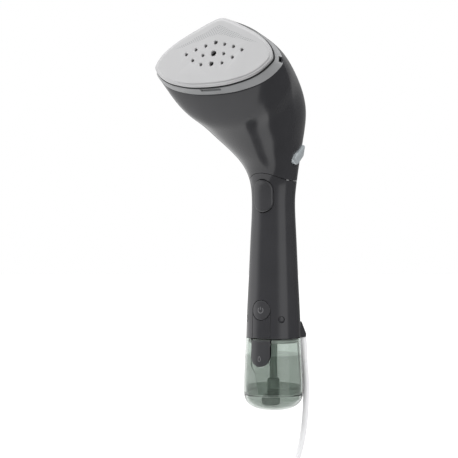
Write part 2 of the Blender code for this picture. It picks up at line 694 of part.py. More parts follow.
def make_hoses():
    lower = [(0, 0, -49.4), (0, 0, -46.5), (0, -2, -41.5), (0, -7, -36), (0, -9, -31.5), (0, -9, -28.5)]
    tube("water_hose_lower", smooth_path([Vector(p) * MM for p in lower], 3), 2.4 * MM, "silicone")
    start = [
        (0, -9, 32.6), (0, -9, 36), (0, -5.4, 44), (0, -1.2, 53), (0, -0.4, 66), (0, -0.6, 88),
        (0, -6, 108), (0, -22, 128), (0, -44, 144),
    ]
    end = [plate_to_world(0, -8 * MM, depth * MM) for depth in (48, 38, 33, 29.5)]
    points = [Vector(p) * MM for p in start] + end
    tube("water_hose_upper", smooth_path(points, 2), 2.4 * MM, "silicone")


def make_electronics():
    box("control_board", (-12, 7.4, -46), (12, 9, 44), "board_green")
    capacitor = turned("board_capacitor", [(3.8, -20), (3.8, -4)], "rubber_dark", 16)
    capacitor.location = (-6 * MM, 13.2 * MM, 0)
    box("terminal_block", (-13, 10.5, -66), (2, 17, -55), "inner_plastic", 0.5)


# ---------------------------------------------------------------- water tank
def tank_radius(height):
    heights = [h * MM for h, r in TANK_PROFILE]
    return smooth_value(heights[::-1], [r * MM for h, r in TANK_PROFILE][::-1], height)


def tank_form(node, proud, low, high):
    """A guide: the tank's outer surface grown by proud, between two heights."""
    rings = []
    for k in range(7):
        height = low + (high - low) * k / 6
        limited = min(max(height, TANK_SEAM + 0.3 * MM), TANK_TOP)
        rings.append(ring_at(tank_radius(limited) + proud, height))
    return guide(loft(node, rings, None))


def make_tank_body():
    outer = [ring_at(r * MM, h * MM) for h, r in TANK_PROFILE]
    inner = [ring_at(r * MM - TANK_WALL, h * MM) for h, r in TANK_PROFILE]
    body = loft("tank_body", outer + inner[::-1], "tank_clear", ring_shaped=True)
    boolean(body, door_prism("door_opening", BUTTON_GAP, None, -18 * MM))
    bore = turned("door_pin_bore", [(0.95, -10.95), (0.95, 10.95)], None, 12)
    boolean(body, guide(aim(bore, DOOR_AXIS, (1, 0, 0))))


def make_tank_bowl():
    """The tank's round bottom, with a spigot that is welded inside the body."""
    spigot = 28.7 * MM - TANK_WALL - GAP
    outer = [ring_at(spigot, BOWL_SPIGOT_TOP), ring_at(spigot, TANK_SEAM)]
    outer += [ring_at(r * MM, h * MM) for h, r in BOWL_PROFILE]
    outer.append(ring_at(1 * MM, TANK_BOTTOM))
    inner = [ring_at(1 * MM, TANK_BOTTOM + TANK_WALL)]
    inner += [ring_at(r * MM - TANK_WALL, h * MM + TANK_WALL) for h, r in BOWL_PROFILE[:1:-1]]
    inner += [ring_at(spigot - TANK_WALL, -127 * MM), ring_at(spigot - TANK_WALL, BOWL_SPIGOT_TOP)]
    shape = bmesh.new()
    down = [[shape.verts.new(p) for p in ring] for ring in outer]
    up = [[shape.verts.new(p) for p in ring] for ring in inner]
    for chain in (down, up, [up[-1], down[0]]):
        for lower, upper in zip(chain, chain[1:]):
            for k in range(SIDES):
                after = (k + 1) % SIDES
                shape.faces.new((lower[k], lower[after], upper[after], upper[k]))
    shape.faces.new(down[-1])
    shape.faces.new(up[0])
    finish_mesh("tank_bowl", shape, "tank_clear")


def make_tank_lid():
    """The disc that closes the tank, with its spout, outlet seal and valve."""
    profile = [(4, -77.4), (24.2, -77.4), (24.2, -74.2), (6.9, -74.2), (6.9, -60.5), (4, -60.5)]
    lid = turned("tank_lid", profile, "inner_plastic", 36, ring_shaped=True)
    boolean(lid, guide(box("lid_notch", (-13, -30, -80), (13, -19.4, -72), None)))
    ring = [(7.4, -73.9), (10, -73.9), (10, -72.6), (7.4, -72.6)]
    turned("tank_seal", ring, "rubber_dark", 24, ring_shaped=True)
    turned("valve_plunger", [(3.6, -72), (3.6, -66), (1.6, -64), (1.6, -60.2)], "silicone", 16)


def door_prism(node, grow, kind, back):
    """A prism with a straight top and a round bottom, through the tank's front wall."""
    half = DOOR_WIDTH / 2 + grow
    top = DOOR_TOP + (5 * MM if grow else 0)
    low = DOOR_BOTTOM - grow + half
    outline = [(half, top), (-half, top)]
    for k in range(15):
        angle = math.pi * k / 14
        outline.append((-half * math.cos(angle), low - half * math.sin(angle)))
    rings = [[Vector((x, y, z)) for x, z in outline] for y in (-34 * MM, back)]
    prism = loft(node, rings, kind)
    return prism if kind else guide(prism)


def make_fill_door():
    door = door_prism("fill_door", 0, "button_plastic", -20 * MM)
    boolean(door, tank_form("door_form", DOOR_PROUD, -110 * MM, -70 * MM), "INTERSECT")
    boolean(door, tank_form("door_hollow", -TANK_WALL, -111 * MM, -69 * MM))
    lug = box("door_lug", (-6, -25.6, -79.4), (6, -21.9, -75.8), None)
    boolean(door, guide(lug), "UNION")
    boolean(door, make_door_shoulder())
    bore = turned("door_bore", [(0.95, -14), (0.95, 14)], None, 12)
    boolean(door, guide(aim(bore, DOOR_AXIS, (1, 0, 0))))
    move_origin(door, DOOR_AXIS)
    pin = turned("door_pin", [(0.75, -10.75), (0.75, 10.75)], "steel", 12)
    aim(pin, DOOR_AXIS, (1, 0, 0))


def make_door_shoulder():
    """A cutter that rounds the door's upper edge about its hinge, so that it can swing."""
    outline = []
    for k in range(9):
        angle = math.pi * (0.5 + k / 16)
        outline.append((DOOR_SWEEP * math.cos(angle), DOOR_SWEEP * math.sin(angle)))
    outline += [(-3 * DOOR_SWEEP, 0), (-3 * DOOR_SWEEP, 3 * DOOR_SWEEP), (0, 3 * DOOR_SWEEP)]
    half = DOOR_WIDTH
    rings = [[DOOR_AXIS + Vector((x, y, z)) for y, z in outline] for x in (-half, half)]
    return guide(loft("door_shoulder", rings, None))


def move_origin(piece, origin):
    """Put a piece's origin on its joint axis without moving its shape."""
    piece.data.transform(Matrix.Translation(-origin))
    piece.location = origin


def make_suction():
    """The pick-up tube in the tank, with its foot and filter."""
    turned("suction_tube", [(3.7, -112), (3.7, -77.8)], "rubber_dark", 20)
    turned("suction_foot", [(4.4, -128.4), (5.9, -127), (5.9, -114), (4.6, -112.3)], "rubber_dark", 20)
    profile = [(7.8, -138.6), (9, -137.4), (9, -130), (7.8, -128.8)]
    strainer = turned("suction_filter", profile, "rubber_dark", 24)
    strainer.location = (-1.5 * MM, -2.5 * MM, 0)


# ---------------------------------------------------------------- mains lead
def around(radius, height, angle=CORD_ANGLE):
    return Vector((radius * math.cos(angle), radius * math.sin(angle), height))


def make_cord_guard():
    """The wedge low on the handle, tapering outwards, that the lead hangs from."""
    # (out from the axis, height, half width)
    bottom = GUARD_BOTTOM / MM
    profile = [(24, -58, 7), (26.8, -58, 7), (33.2, -70.2, 3.8), (33.0, bottom, 3.8), (24, bottom, 7)]
    tangent = Vector((-math.sin(CORD_ANGLE), math.cos(CORD_ANGLE), 0)) * MM
    rings = []
    for side in (-1, 1):
        rings.append([around(r * MM, h * MM) + tangent * side * w for r, h, w in profile])
    guard = loft("cord_guard", rings, "black_plastic")
    heights = (-80, -73, -65, -55, -45)
    rings = [ring_at(handle_radius(max(h, -72.6) * MM) + 0.35 * MM, h * MM) for h in heights]
    boolean(guard, guide(loft("guard_clearance", rings, None)))


def make_strain_relief():
    start = around(RELIEF_TOP.x, RELIEF_TOP.z)
    direction = around(RELIEF_TIP.x, RELIEF_TIP.z) - start
    length = direction.length / MM
    wide, thin = (r / MM for r in RELIEF_RADII)
    profile = [(wide, 0), (wide, length * 0.3), (thin, length)]
    relief = turned("strain_relief", profile, "cord_white", 16)
    aim(relief, start, direction, (0, 1, 0))
    clamp = box("cord_clamp", (-5, -4, 15.5), (5, 4, 20.5), "inner_plastic", 0.5)
    aim(clamp, Vector((0, 0, -65 * MM)), around(1, 0))


def make_lead():
    route = [Vector(point) * MM for point in CORD_ROUTE]
    tube("power_cord", smooth_path(route, 2), CORD_DIAMETER / 2, "cord_white", 2)
    mid = COIL_RADIUS / MM
    half = COIL_HALF / MM
    section = []
    for k in range(12):
        angle = 2 * math.pi * k / 12
        across, up = math.cos(angle), math.sin(angle)
        # a square section with its corners cut off
        size = half / max(abs(across), abs(up), 0.72 * (abs(across) + abs(up)))
        section.append((mid + size * across, size * up))
    coil = turned("power_cord_coil", section, "cord_white", 32, ring_shaped=True)
    coil.location = (COIL_CENTRE.x, COIL_CENTRE.y, FLOOR_Z + COIL_HALF)


def make_plug():
    """A round two-pin plug beside the coil, with its pins pointing away from it."""
    turn = Vector((math.cos(PLUG_ANGLE), math.sin(PLUG_ANGLE), 0))
    heading = Vector((-turn.y, turn.x, 0))
    radius = 15.5
    outer_turn = COIL_RADIUS + CORD_DIAMETER
    start = Vector((*COIL_CENTRE, 0)) + turn * outer_turn + heading * PLUG_RUN
    start.z = FLOOR_Z + (radius + 0.2) * MM * 0.72
    length = PLUG_LENGTH / MM
    profile = [
        (3.6, 0), (4.4, 8), (7.5, 11), (13.5, 18), (radius, 24), (radius, length - 2),
        (radius - 2, length),
    ]
    body = turned("plug_body", profile, "cord_white", 24)
    body.data.transform(Matrix.Diagonal((1, 0.72, 1, 1)))
    aim(body, start, heading)
    for side, name in ((-1, "left"), (1, "right")):
        pin = turned("plug_pin_" + name, [(2.4, 0), (2.4, 17.5), (1.4, 19)], "steel", 12)
        across = heading.cross(Vector((0, 0, 1)))
        base = start + heading * (PLUG_LENGTH + GAP) + across * side * PIN_PITCH / 2
        aim(pin, base, heading)


def main():
    clear_scene()
    make_steam_plate()
    make_gasket()
    make_insulating_band()
    make_head_shell()
    make_steam_lock()
    make_steam_chamber()
    make_heater()
    make_steam_inlet()
    make_cover_screws()
    make_heat_shield()
    make_neck_sleeve()
    make_handle_shell()
    make_indicator_lenses()
    make_trigger()
    make_power_button()
    make_release_latch()
    make_handle_base()
    make_inner_frame()
    make_pump()
    make_hoses()
    make_electronics()
    make_tank_body()
    make_tank_bowl()
    make_tank_lid()
    make_fill_door()
    make_suction()
    make_cord_guard()
    make_strain_relief()
    make_lead()
    make_plug()


main()
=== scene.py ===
"""Looks for the handheld garment steamer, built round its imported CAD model.

World frame: +Z runs up the handle's axis, and the steam plate faces -Y and a little up.
"""
import math

import bmesh
import bpy
import numpy as np
from mathutils import Matrix, Vector
from mathutils.bvhtree import BVHTree


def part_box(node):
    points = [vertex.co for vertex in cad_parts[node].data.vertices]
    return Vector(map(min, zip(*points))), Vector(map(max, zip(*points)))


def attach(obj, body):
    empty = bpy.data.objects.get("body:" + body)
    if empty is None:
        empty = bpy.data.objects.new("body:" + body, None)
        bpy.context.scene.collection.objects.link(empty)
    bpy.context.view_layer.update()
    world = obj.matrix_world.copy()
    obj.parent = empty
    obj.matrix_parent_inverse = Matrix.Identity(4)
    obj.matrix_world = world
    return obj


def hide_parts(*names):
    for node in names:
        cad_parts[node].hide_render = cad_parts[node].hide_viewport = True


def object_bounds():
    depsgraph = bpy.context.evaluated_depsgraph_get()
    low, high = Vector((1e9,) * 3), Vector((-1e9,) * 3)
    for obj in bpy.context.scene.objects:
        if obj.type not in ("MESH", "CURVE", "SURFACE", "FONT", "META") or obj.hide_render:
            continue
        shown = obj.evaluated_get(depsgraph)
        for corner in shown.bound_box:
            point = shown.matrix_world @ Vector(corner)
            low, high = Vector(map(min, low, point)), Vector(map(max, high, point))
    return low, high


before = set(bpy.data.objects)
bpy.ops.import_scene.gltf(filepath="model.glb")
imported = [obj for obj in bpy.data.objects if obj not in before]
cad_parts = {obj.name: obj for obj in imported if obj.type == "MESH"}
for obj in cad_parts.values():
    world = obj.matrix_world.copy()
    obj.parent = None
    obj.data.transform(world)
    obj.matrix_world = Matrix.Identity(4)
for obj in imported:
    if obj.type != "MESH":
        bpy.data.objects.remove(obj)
cad_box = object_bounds()

MM = 0.001

# ------------ camera
VIEW_ANGLE = math.radians(31)
VIEW_DISTANCE = 1.165
VIEW_HEIGHT = 0.032
VIEW_SIDE_STEP = -0.0432
VIEW_LENS = 94.32
TO_RIGHT = Vector((math.cos(VIEW_ANGLE), math.sin(VIEW_ANGLE), 0))
TO_CAMERA = Vector((math.sin(VIEW_ANGLE), -math.cos(VIEW_ANGLE), 0))

# ------------ mains lead
CORD_DIAMETER = 0.006
FLOOR_Z = cad_box[0][2]
COIL_CENTRE = Vector((0.012, -0.019))
COIL_ENTRY = math.radians(126)          # where the lead meets the coil
COIL_EXIT = math.radians(200)           # where it leaves for the plug
PLUG_HEADING = Vector((-math.sin(COIL_EXIT), math.cos(COIL_EXIT), 0))
PLUG_RUN = 0.0312                       # from the coil's end into the plug
PLUG_LENGTH = 40.0
PLUG_RADIUS = 15.5
# the coil's turns in order, as (radius, height above the floor) in diameters
COIL_TURNS = [
    (5.5, 2.5), (6.5, 2.5), (6.5, 1.5), (5.5, 1.5), (4.5, 1.5), (4.5, 0.5), (5.5, 0.5), (6.5, 0.5),
    (6.5, 0.5),
]
TURN_STEPS = 32
# the lead between its strain relief and the coil, as in part.py
CORD_ROUTE = [
    (0.02034, 0.02603, -0.0973), (0.0209, 0.0268, -0.106), (0.0214, 0.0274, -0.119),
    (0.0213, 0.0273, -0.134), (0.0208, 0.0266, -0.150), (0.0197, 0.0253, -0.165),
    (0.0178, 0.0234, -0.179), (0.0144, 0.0210, -0.193), (0.0090, 0.0176, -0.2055),
    (0.0016, 0.0132, -0.214), (-0.0066, 0.0082, -0.2179),
]

# ------------ steam head and handle
SIDES = 240
PLATE_CENTRE = Vector((0, -111.1, 188.7)) * MM
PLATE_TILT = math.radians(20.9)
PLATE_HALF_WIDTH = 61.2
PLATE_TOP = 36.5
PLATE_BOTTOM = -32.5
PLATE_OUTLINE = [
    (0, 36.5), (11, 33.2), (21.3, 28), (31.7, 22.4), (42.2, 16), (51.8, 8.4), (58.3, 0.5),
    (61.2, -7), (60.6, -10.9), (55.5, -17), (49, -22.1), (39.5, -26.6), (27, -30), (15.8, -31.8),
    (0, -32.5),
]
HOLE_ROWS = [
    [(0, 10.9, 3.4), (9.9, 8.3, 2.8), (19.7, 5.2, 2.8), (29.1, 1.1, 2.8)],
    [(0, 0, 5.2), (10.9, -1.2, 2.8), (20.8, -5.6, 2.8)],
    [(0, -10.4, 4.2), (11.0, -10.4, 2.8)],
]
HOLE_CHAMFER = 0.6
# the plate's edge from its back to its face: (offset from the outline, depth)
PLATE_EDGE = [
    (-0.6, 3.0), (-0.15, 2.85), (0, 2.4), (0, 1.6), (-0.1, 1.2), (-0.3, 0.9), (-0.6, 0.72),
    (-1.0, 0.62), (-1.9, 0.6), (-2.3, 0.55), (-2.6, 0.38), (-2.9, 0.17), (-3.2, 0.04), (-3.5, 0),
    (-4.5, 0),
]
RIM_DEPTH = 11.0
RIM_TILT = math.radians(12.9)
RIM_OVERHANG = 1.0
NECK_Z = 76.0
NECK_RADIUS = 22.4
HEAD_STATIONS = [0, 0.2, 0.4, 0.6, 0.8, 1]
HEAD_UNDERSIDE = [62.5, 62.5, 69.5, 84]
HEAD_BACK = [162, 168, 167, 158]
HEAD_HALF_WIDTH = [66, 61.4, 53, 45, 31, 22.4]
HEAD_ROUNDNESS = [0, 0.1, 0.4, 0.76, 1, 1]
HANDLE_PROFILE = [(-72.6, 26.5), (-54, 25.9), (-13, 23.9), (23, 22.3), (45.6, 21.2), (63, 21.1)]
SHELL_WALL = 2.3
SEAM_Z = 78.3
SEAM_LIFT_FRONT = 7.0
SEAM_LIFT_BACK = 2.0
SEAM_GAP = 0.35

TRIGGER_Z = 63.5
TRIGGER_SIZE = (20.0, 31.2)
POWER_Z = -45.4
POWER_SIZE = (18.6, 18.6)
LATCH_HALF_WIDTH = 9.4
LATCH_BOTTOM = -72.3
LOCK_CENTRE = Vector((28.1, 0, 103.2)) * MM
LOCK_NORMAL = Vector((1, 0.25, -0.2)).normalized()
LOCK_SLOPE = math.radians(30)
LOCK_SIZE = (12.3, 26.4)
BUTTON_GAP = 0.55
LENS_ANGLE = math.radians(46)
LENS_Z = -54.2
LENS_RADIUS = 3.0
CORD_ANGLE = math.radians(52)
CORD_OUT = Vector((math.cos(CORD_ANGLE), math.sin(CORD_ANGLE), 0))
# where cutters for the front's openings start and end, along y
CUT_START = -34
PRISM_END = -10
BLOCK_END = -18

# ------------ water tank
TANK_WALL = 1.8
TANK_RADIUS = 28.7
WALL_TOP = -73.0
WALL_FOOT = -125.6
TANK_PROFILE = [(WALL_TOP, 26.7), (-85, 27.3), (-100, 28.0), (-115, 28.6), (WALL_FOOT, TANK_RADIUS)]
BOWL_PROFILE = [(-126.0, TANK_RADIUS), (-130, 28.2), (-134.5, 26.4), (-138.4, 22.8), (-141.2, 17)]
TANK_BOTTOM = -142.8
SPIGOT_TOP = -119.6
SPIGOT_RADIUS = TANK_RADIUS - TANK_WALL - 0.3
RECESS_SIZE = (20.8, 31)                # the finger recess below the door
DOOR_HALF_WIDTH = 9.9
DOOR_TOP = -74.4
DOOR_BOTTOM = -99.4
DOOR_AXIS = Vector((0, -23.4, -77.6))
DOOR_SWEEP = 4.7
DOOR_PROUD = 0.5
DOOR_GAP = 0.4


# ------------ mesh helpers
SHARP_ANGLE = math.radians(35)          # edges that turn by more stay sharp


def finish_mesh(name, shape):
    """Turn a bmesh into a named object with outward faces and smooth shading."""
    bmesh.ops.remove_doubles(shape, verts=shape.verts, dist=1e-7)
    bmesh.ops.recalc_face_normals(shape, faces=shape.faces)
    mesh = bpy.data.meshes.new(name)
    shape.to_mesh(mesh)
    shape.free()
    mesh.shade_smooth()
    mesh.set_sharp_from_angle(angle=SHARP_ANGLE)
    piece = bpy.data.objects.new(name, mesh)
    bpy.context.scene.collection.objects.link(piece)
    return piece


def loft(name, rings, ring_shaped=False):
    """Join equal rings of points. Ends are capped, or joined to each other when ring_shaped."""
    shape = bmesh.new()
    loops = [[shape.verts.new(point) for point in ring] for ring in rings]
    pairs = list(zip(loops, loops[1:]))
    if ring_shaped:
        pairs.append((loops[-1], loops[0]))
    for lower, upper in pairs:
        for k in range(len(lower)):
            after = (k + 1) % len(lower)
            shape.faces.new((lower[k], lower[after], upper[after], upper[k]))
    if not ring_shaped:
        shape.faces.new(loops[0])
        shape.faces.new(loops[-1])
    return finish_mesh(name, shape)


def turned(name, profile, sides=96, ring_shaped=False, centre=(0, 0)):
    """A body turned about the local Z axis from (radius, height) points in millimetres."""
    rings = []
    for radius, height in profile:
        ring = []
        for k in range(sides):
            angle = 2 * math.pi * k / sides
            across, along = radius * math.cos(angle), radius * math.sin(angle)
            ring.append(Vector((centre[0] + across, centre[1] + along, height)) * MM)
        rings.append(ring)
    return loft(name, rings, ring_shaped)


def round_profile(profile, radius, steps=4):
    """A closed profile with each corner rounded."""
    points = []
    count = len(profile)
    for k in range(count):
        corner = Vector(profile[k])
        before = Vector(profile[k - 1]) - corner
        after = Vector(profile[(k + 1) % count]) - corner
        reach = min(radius, before.length * 0.45, after.length * 0.45)
        start = corner + before.normalized() * reach
        end = corner + after.normalized() * reach
        for step in range(steps + 1):
            t = step / steps
            points.append(tuple(start * (1 - t) ** 2 + corner * 2 * t * (1 - t) + end * t ** 2))
    return points


def aim(piece, origin, out, up=Vector((0, 0, 1))):
    """Place a piece with its local Z along out and its local Y as near up as it can be."""
    out = Vector(out).normalized()
    side = Vector(up).cross(out).normalized()
    turn = Matrix((side, out.cross(side), out)).transposed().to_4x4()
    piece.matrix_world = Matrix.Translation(origin) @ turn
    return piece


def apply_modifiers(piece):
    bpy.context.view_layer.update()
    graph = bpy.context.evaluated_depsgraph_get()
    mesh = bpy.data.meshes.new_from_object(piece.evaluated_get(graph))
    piece.modifiers.clear()
    piece.data = mesh
    return piece


def cut(piece, *cutters):
    """Take the cutters out of a piece, and remove them."""
    for cutter in cutters:
        step = piece.modifiers.new("cut", "BOOLEAN")
        step.operation = "DIFFERENCE"
        step.object = cutter
        step.solver = "EXACT"
    apply_modifiers(piece)
    for cutter in cutters:
        bpy.data.objects.remove(cutter, do_unlink=True)
    piece.data.set_sharp_from_angle(angle=SHARP_ANGLE)
    return piece


def soften(piece, width):
    """Round a piece's sharp edges."""
    step = piece.modifiers.new("soften", "BEVEL")
    step.width = width
    step.segments = 3
    step.limit_method = "ANGLE"
    step.angle_limit = math.radians(40)
    apply_modifiers(piece)
    piece.data.shade_smooth()
    piece.data.set_sharp_from_angle(angle=math.radians(50))
    return piece


def block(name, low, high):
    low, high = Vector(low) * MM, Vector(high) * MM
    shape = bmesh.new()
    bmesh.ops.create_cube(shape, size=1)
    bmesh.ops.scale(shape, vec=high - low, verts=shape.verts)
    bmesh.ops.translate(shape, vec=(low + high) / 2, verts=shape.verts)
    return finish_mesh(name, shape)


def smooth_path(points, steps):
    """Points along a smooth curve through the given ones, with steps to each span."""
    points = [Vector(point) for point in points]
    ends = [2 * points[0] - points[1]] + points + [2 * points[-1] - points[-2]]
    path = []
    for before, start, end, after in zip(ends, ends[1:], ends[2:], ends[3:]):
        for k in range(steps):
            t = k / steps
            bend = (end - before) * t + (2 * before - 5 * start + 4 * end - after) * t ** 2
            path.append(start + (bend + (3 * start - before - 3 * end + after) * t ** 3) / 2)
    path.append(points[-1])
    return path


def spline(stations, values):
    """A smooth curve through rows of values, as a function of the station."""
    stations = np.array(stations, float)
    values = np.array(values, float)
    steps = np.diff(stations)
    count = len(stations)
    system = np.eye(count)
    right = np.zeros_like(values)
    for i in range(1, count - 1):
        system[i, i - 1:i + 2] = steps[i - 1], 2 * (steps[i - 1] + steps[i]), steps[i]
        rise = (values[i + 1] - values[i]) / steps[i] - (values[i] - values[i - 1]) / steps[i - 1]
        right[i] = 6 * rise
    bends = np.linalg.solve(system, right.reshape(count, -1)).reshape(values.shape)

    def at(station):
        i = int(np.clip(np.searchsorted(stations, station) - 1, 0, count - 2))
        a = (stations[i + 1] - station) / steps[i]
        b = 1 - a
        bend = ((a ** 3 - a) * bends[i] + (b ** 3 - b) * bends[i + 1]) * steps[i] ** 2 / 6
        return a * values[i] + b * values[i + 1] + bend

    return at


def fit(piece, body, slot, material, *nodes):
    """Give a piece its material and its body, and hide the CAD nodes it stands for. The slot is not used.
    """
    piece.data.materials.clear()
    piece.data.materials.append(material)
    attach(piece, body)
    if nodes:
        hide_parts(*nodes)
    return piece


# ------------ camera and lead
def make_camera():
    camera = bpy.data.objects.new("camera", bpy.data.cameras.new("camera"))
    bpy.context.scene.collection.objects.link(camera)
    camera.location = TO_RIGHT * VIEW_SIDE_STEP + TO_CAMERA * VIEW_DISTANCE
    camera.location.z = VIEW_HEIGHT
    camera.rotation_euler = (math.pi / 2, 0, VIEW_ANGLE)
    camera.data.lens = VIEW_LENS
    bpy.context.scene.camera = camera


def ease(share):
    return share * share * (3 - 2 * share)


def coil_points():
    """The lead's turns in the coil, from the top down and outwards."""
    total = len(COIL_TURNS) - 1 + (COIL_EXIT - COIL_ENTRY) / (2 * math.pi)
    steps = int(total * TURN_STEPS)
    points = []
    for k in range(1, steps + 1):
        turn = total * k / steps
        slot = int(turn)
        shift = ease(max(0.0, (turn - slot - 0.75) / 0.25))
        here, after = COIL_TURNS[slot], COIL_TURNS[min(slot + 1, len(COIL_TURNS) - 1)]
        radius = (here[0] + (after[0] - here[0]) * shift) * CORD_DIAMETER
        height = (here[1] + (after[1] - here[1]) * shift) * CORD_DIAMETER
        height += 1.2 * CORD_DIAMETER * ease(max(0.0, 1 - turn / 0.3))
        leaving = max(0.0, (turn - total + 0.25) / 0.25)
        height += 0.55 * CORD_DIAMETER * leaving * leaving
        angle = COIL_ENTRY + 2 * math.pi * turn
        x = COIL_CENTRE.x + radius * math.cos(angle)
        y = COIL_CENTRE.y + radius * math.sin(angle)
        points.append(Vector((x, y, FLOOR_Z + height)))
    return points


def make_cord(material):
    plug_low, plug_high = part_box("plug_body")
    turns = coil_points()
    entry = turns[-1] + PLUG_HEADING * PLUG_RUN
    entry.z = (plug_low.z + plug_high.z) / 2
    middle = (turns[-1] + entry) / 2
    middle.z += 0.0008
    points = smooth_path(CORD_ROUTE, 4) + turns
    points += smooth_path([turns[-1], middle, entry], 5)[1:]
    curve = bpy.data.curves.new("mains_lead", "CURVE")
    curve.dimensions = "3D"
    curve.bevel_depth = CORD_DIAMETER / 2
    curve.bevel_resolution = 8
    curve.use_fill_caps = True
    line = curve.splines.new("POLY")
    line.points.add(len(points) - 1)
    for target, point in zip(line.points, points):
        target.co = (*point, 1)
    lead = bpy.data.objects.new("mains_lead", curve)
    bpy.context.scene.collection.objects.link(lead)
    fit(lead, "handset", "cord", material, "power_cord", "power_cord_coil")
    return lead


# ------------ finishes
def link_maths(tree, operation, *values):
    """A Math node. Each value is a number or another node's output."""
    node = tree.nodes.new("ShaderNodeMath")
    node.operation = operation
    for socket, value in zip(node.inputs, values):
        if isinstance(value, (int, float)):
            socket.default_value = value
        else:
            tree.links.new(value, socket)
    return node.outputs[0]


def map_range(tree, value, low, high, to_low, to_high, kind="LINEAR"):
    node = tree.nodes.new("ShaderNodeMapRange")
    node.interpolation_type = kind
    tree.links.new(value, node.inputs["Value"])
    for name, number in (("From Min", low), ("From Max", high), ("To Min", to_low), ("To Max", to_high)):
        node.inputs[name].default_value = number
    return node.outputs["Result"]


def mix_colours(tree, share, first, second):
    node = tree.nodes.new("ShaderNodeMix")
    node.data_type = "RGBA"
    tree.links.new(share, node.inputs["Factor"])
    for name, value in ((6, first), (7, second)):
        if isinstance(value, tuple):
            node.inputs[name].default_value = (*value, 1)
        else:
            tree.links.new(value, node.inputs[name])
    return node.outputs[2]


def noise(tree, coordinates, scale, detail=3.0):
    node = tree.nodes.new("ShaderNodeTexNoise")
    node.inputs["Scale"].default_value = scale
    node.inputs["Detail"].default_value = detail
    tree.links.new(coordinates, node.inputs["Vector"])
    return node.outputs["Fac"]


def tinted(colour, factor):
    return tuple(min(1.0, channel * factor) for channel in colour)


def finish(name, colour, rough, metal=0.0, grain=2600, bump=0.05, patch=55, spread=0.04,
           stretch=(1, 1, 1), worn=1.6, shade=0.10):
    """A procedural finish: fine grain, patchy gloss, uneven colour and worn edges."""
    material = bpy.data.materials.new(name)
    material.use_nodes = True
    tree = material.node_tree
    shader = tree.nodes["Principled BSDF"]
    shader.inputs["Metallic"].default_value = metal
    place = tree.nodes.new("ShaderNodeMapping")
    place.inputs["Scale"].default_value = stretch
    tree.links.new(tree.nodes.new("ShaderNodeTexCoord").outputs["Object"], place.inputs["Vector"])
    coordinates = place.outputs["Vector"]
    coarse = noise(tree, coordinates, patch)
    fine = noise(tree, coordinates, grain, 2.0)
    tree.links.new(map_range(tree, coarse, 0.3, 0.7, rough - spread, rough + spread),
                   shader.inputs["Roughness"])
    base = mix_colours(tree, coarse, tinted(colour, 1 - shade), tinted(colour, 1 + shade))
    edges = tree.nodes.new("ShaderNodeNewGeometry").outputs["Pointiness"]
    wear = link_maths(tree, "MULTIPLY", map_range(tree, edges, 0.53, 0.62, 0, 0.7), coarse)
    base = mix_colours(tree, wear, base, tinted(colour, worn))
    tree.links.new(base, shader.inputs["Base Color"])
    relief = tree.nodes.new("ShaderNodeBump")
    relief.inputs["Strength"].default_value = bump
    relief.inputs["Distance"].default_value = 0.0002
    tree.links.new(fine, relief.inputs["Height"])
    tree.links.new(relief.outputs["Normal"], shader.inputs["Normal"])
    return material


def plate_finish():
    """Satin ceramic-coated metal with a fine chevron of dimples above the steam holes."""
    material = finish("plate_satin_metal", (0.50, 0.50, 0.505), 0.34, metal=0.55, grain=900,
                      bump=0.03, patch=70, spread=0.03, stretch=(1, 0.25, 1), worn=1.15, shade=0.02)
    tree = material.node_tree
    shader = tree.nodes["Principled BSDF"]
    axes = tree.nodes.new("ShaderNodeSeparateXYZ")
    tree.links.new(tree.nodes["Texture Coordinate"].outputs["Object"], axes.inputs[0])
    across = link_maths(tree, "ABSOLUTE", axes.outputs["X"])
    level = link_maths(tree, "MULTIPLY_ADD", across, 0.40, axes.outputs["Y"])
    offset = link_maths(tree, "ABSOLUTE", link_maths(tree, "SUBTRACT", level, 0.0242))
    half_width = link_maths(tree, "MULTIPLY_ADD", across, -0.1, 0.0047)
    inside = link_maths(tree, "LESS_THAN", offset, half_width)
    row = link_maths(tree, "MULTIPLY", level, 1 / 0.0016)
    shifted = link_maths(tree, "MULTIPLY_ADD", link_maths(tree, "FLOOR", row), 0.5,
                         link_maths(tree, "MULTIPLY", across, 1 / 0.0019))
    from_x = link_maths(tree, "SUBTRACT", link_maths(tree, "FRACT", shifted), 0.5)
    from_y = link_maths(tree, "SUBTRACT", link_maths(tree, "FRACT", row), 0.5)
    distance = link_maths(tree, "SQRT", link_maths(
        tree, "ADD", link_maths(tree, "POWER", from_x, 2), link_maths(tree, "POWER", from_y, 2)))
    dot = map_range(tree, distance, 0.18, 0.34, 1, 0, "SMOOTHSTEP")
    mask = link_maths(tree, "MULTIPLY", dot, inside)
    base = shader.inputs["Base Color"].links[0].from_socket
    tree.links.new(mix_colours(tree, mask, base, (0.26, 0.27, 0.28)), shader.inputs["Base Color"])
    relief = shader.inputs["Normal"].links[0].from_node
    height = relief.inputs["Height"].links[0].from_socket
    tree.links.new(link_maths(tree, "SUBTRACT", height, link_maths(tree, "MULTIPLY", mask, 3)),
                   relief.inputs["Height"])
    return material


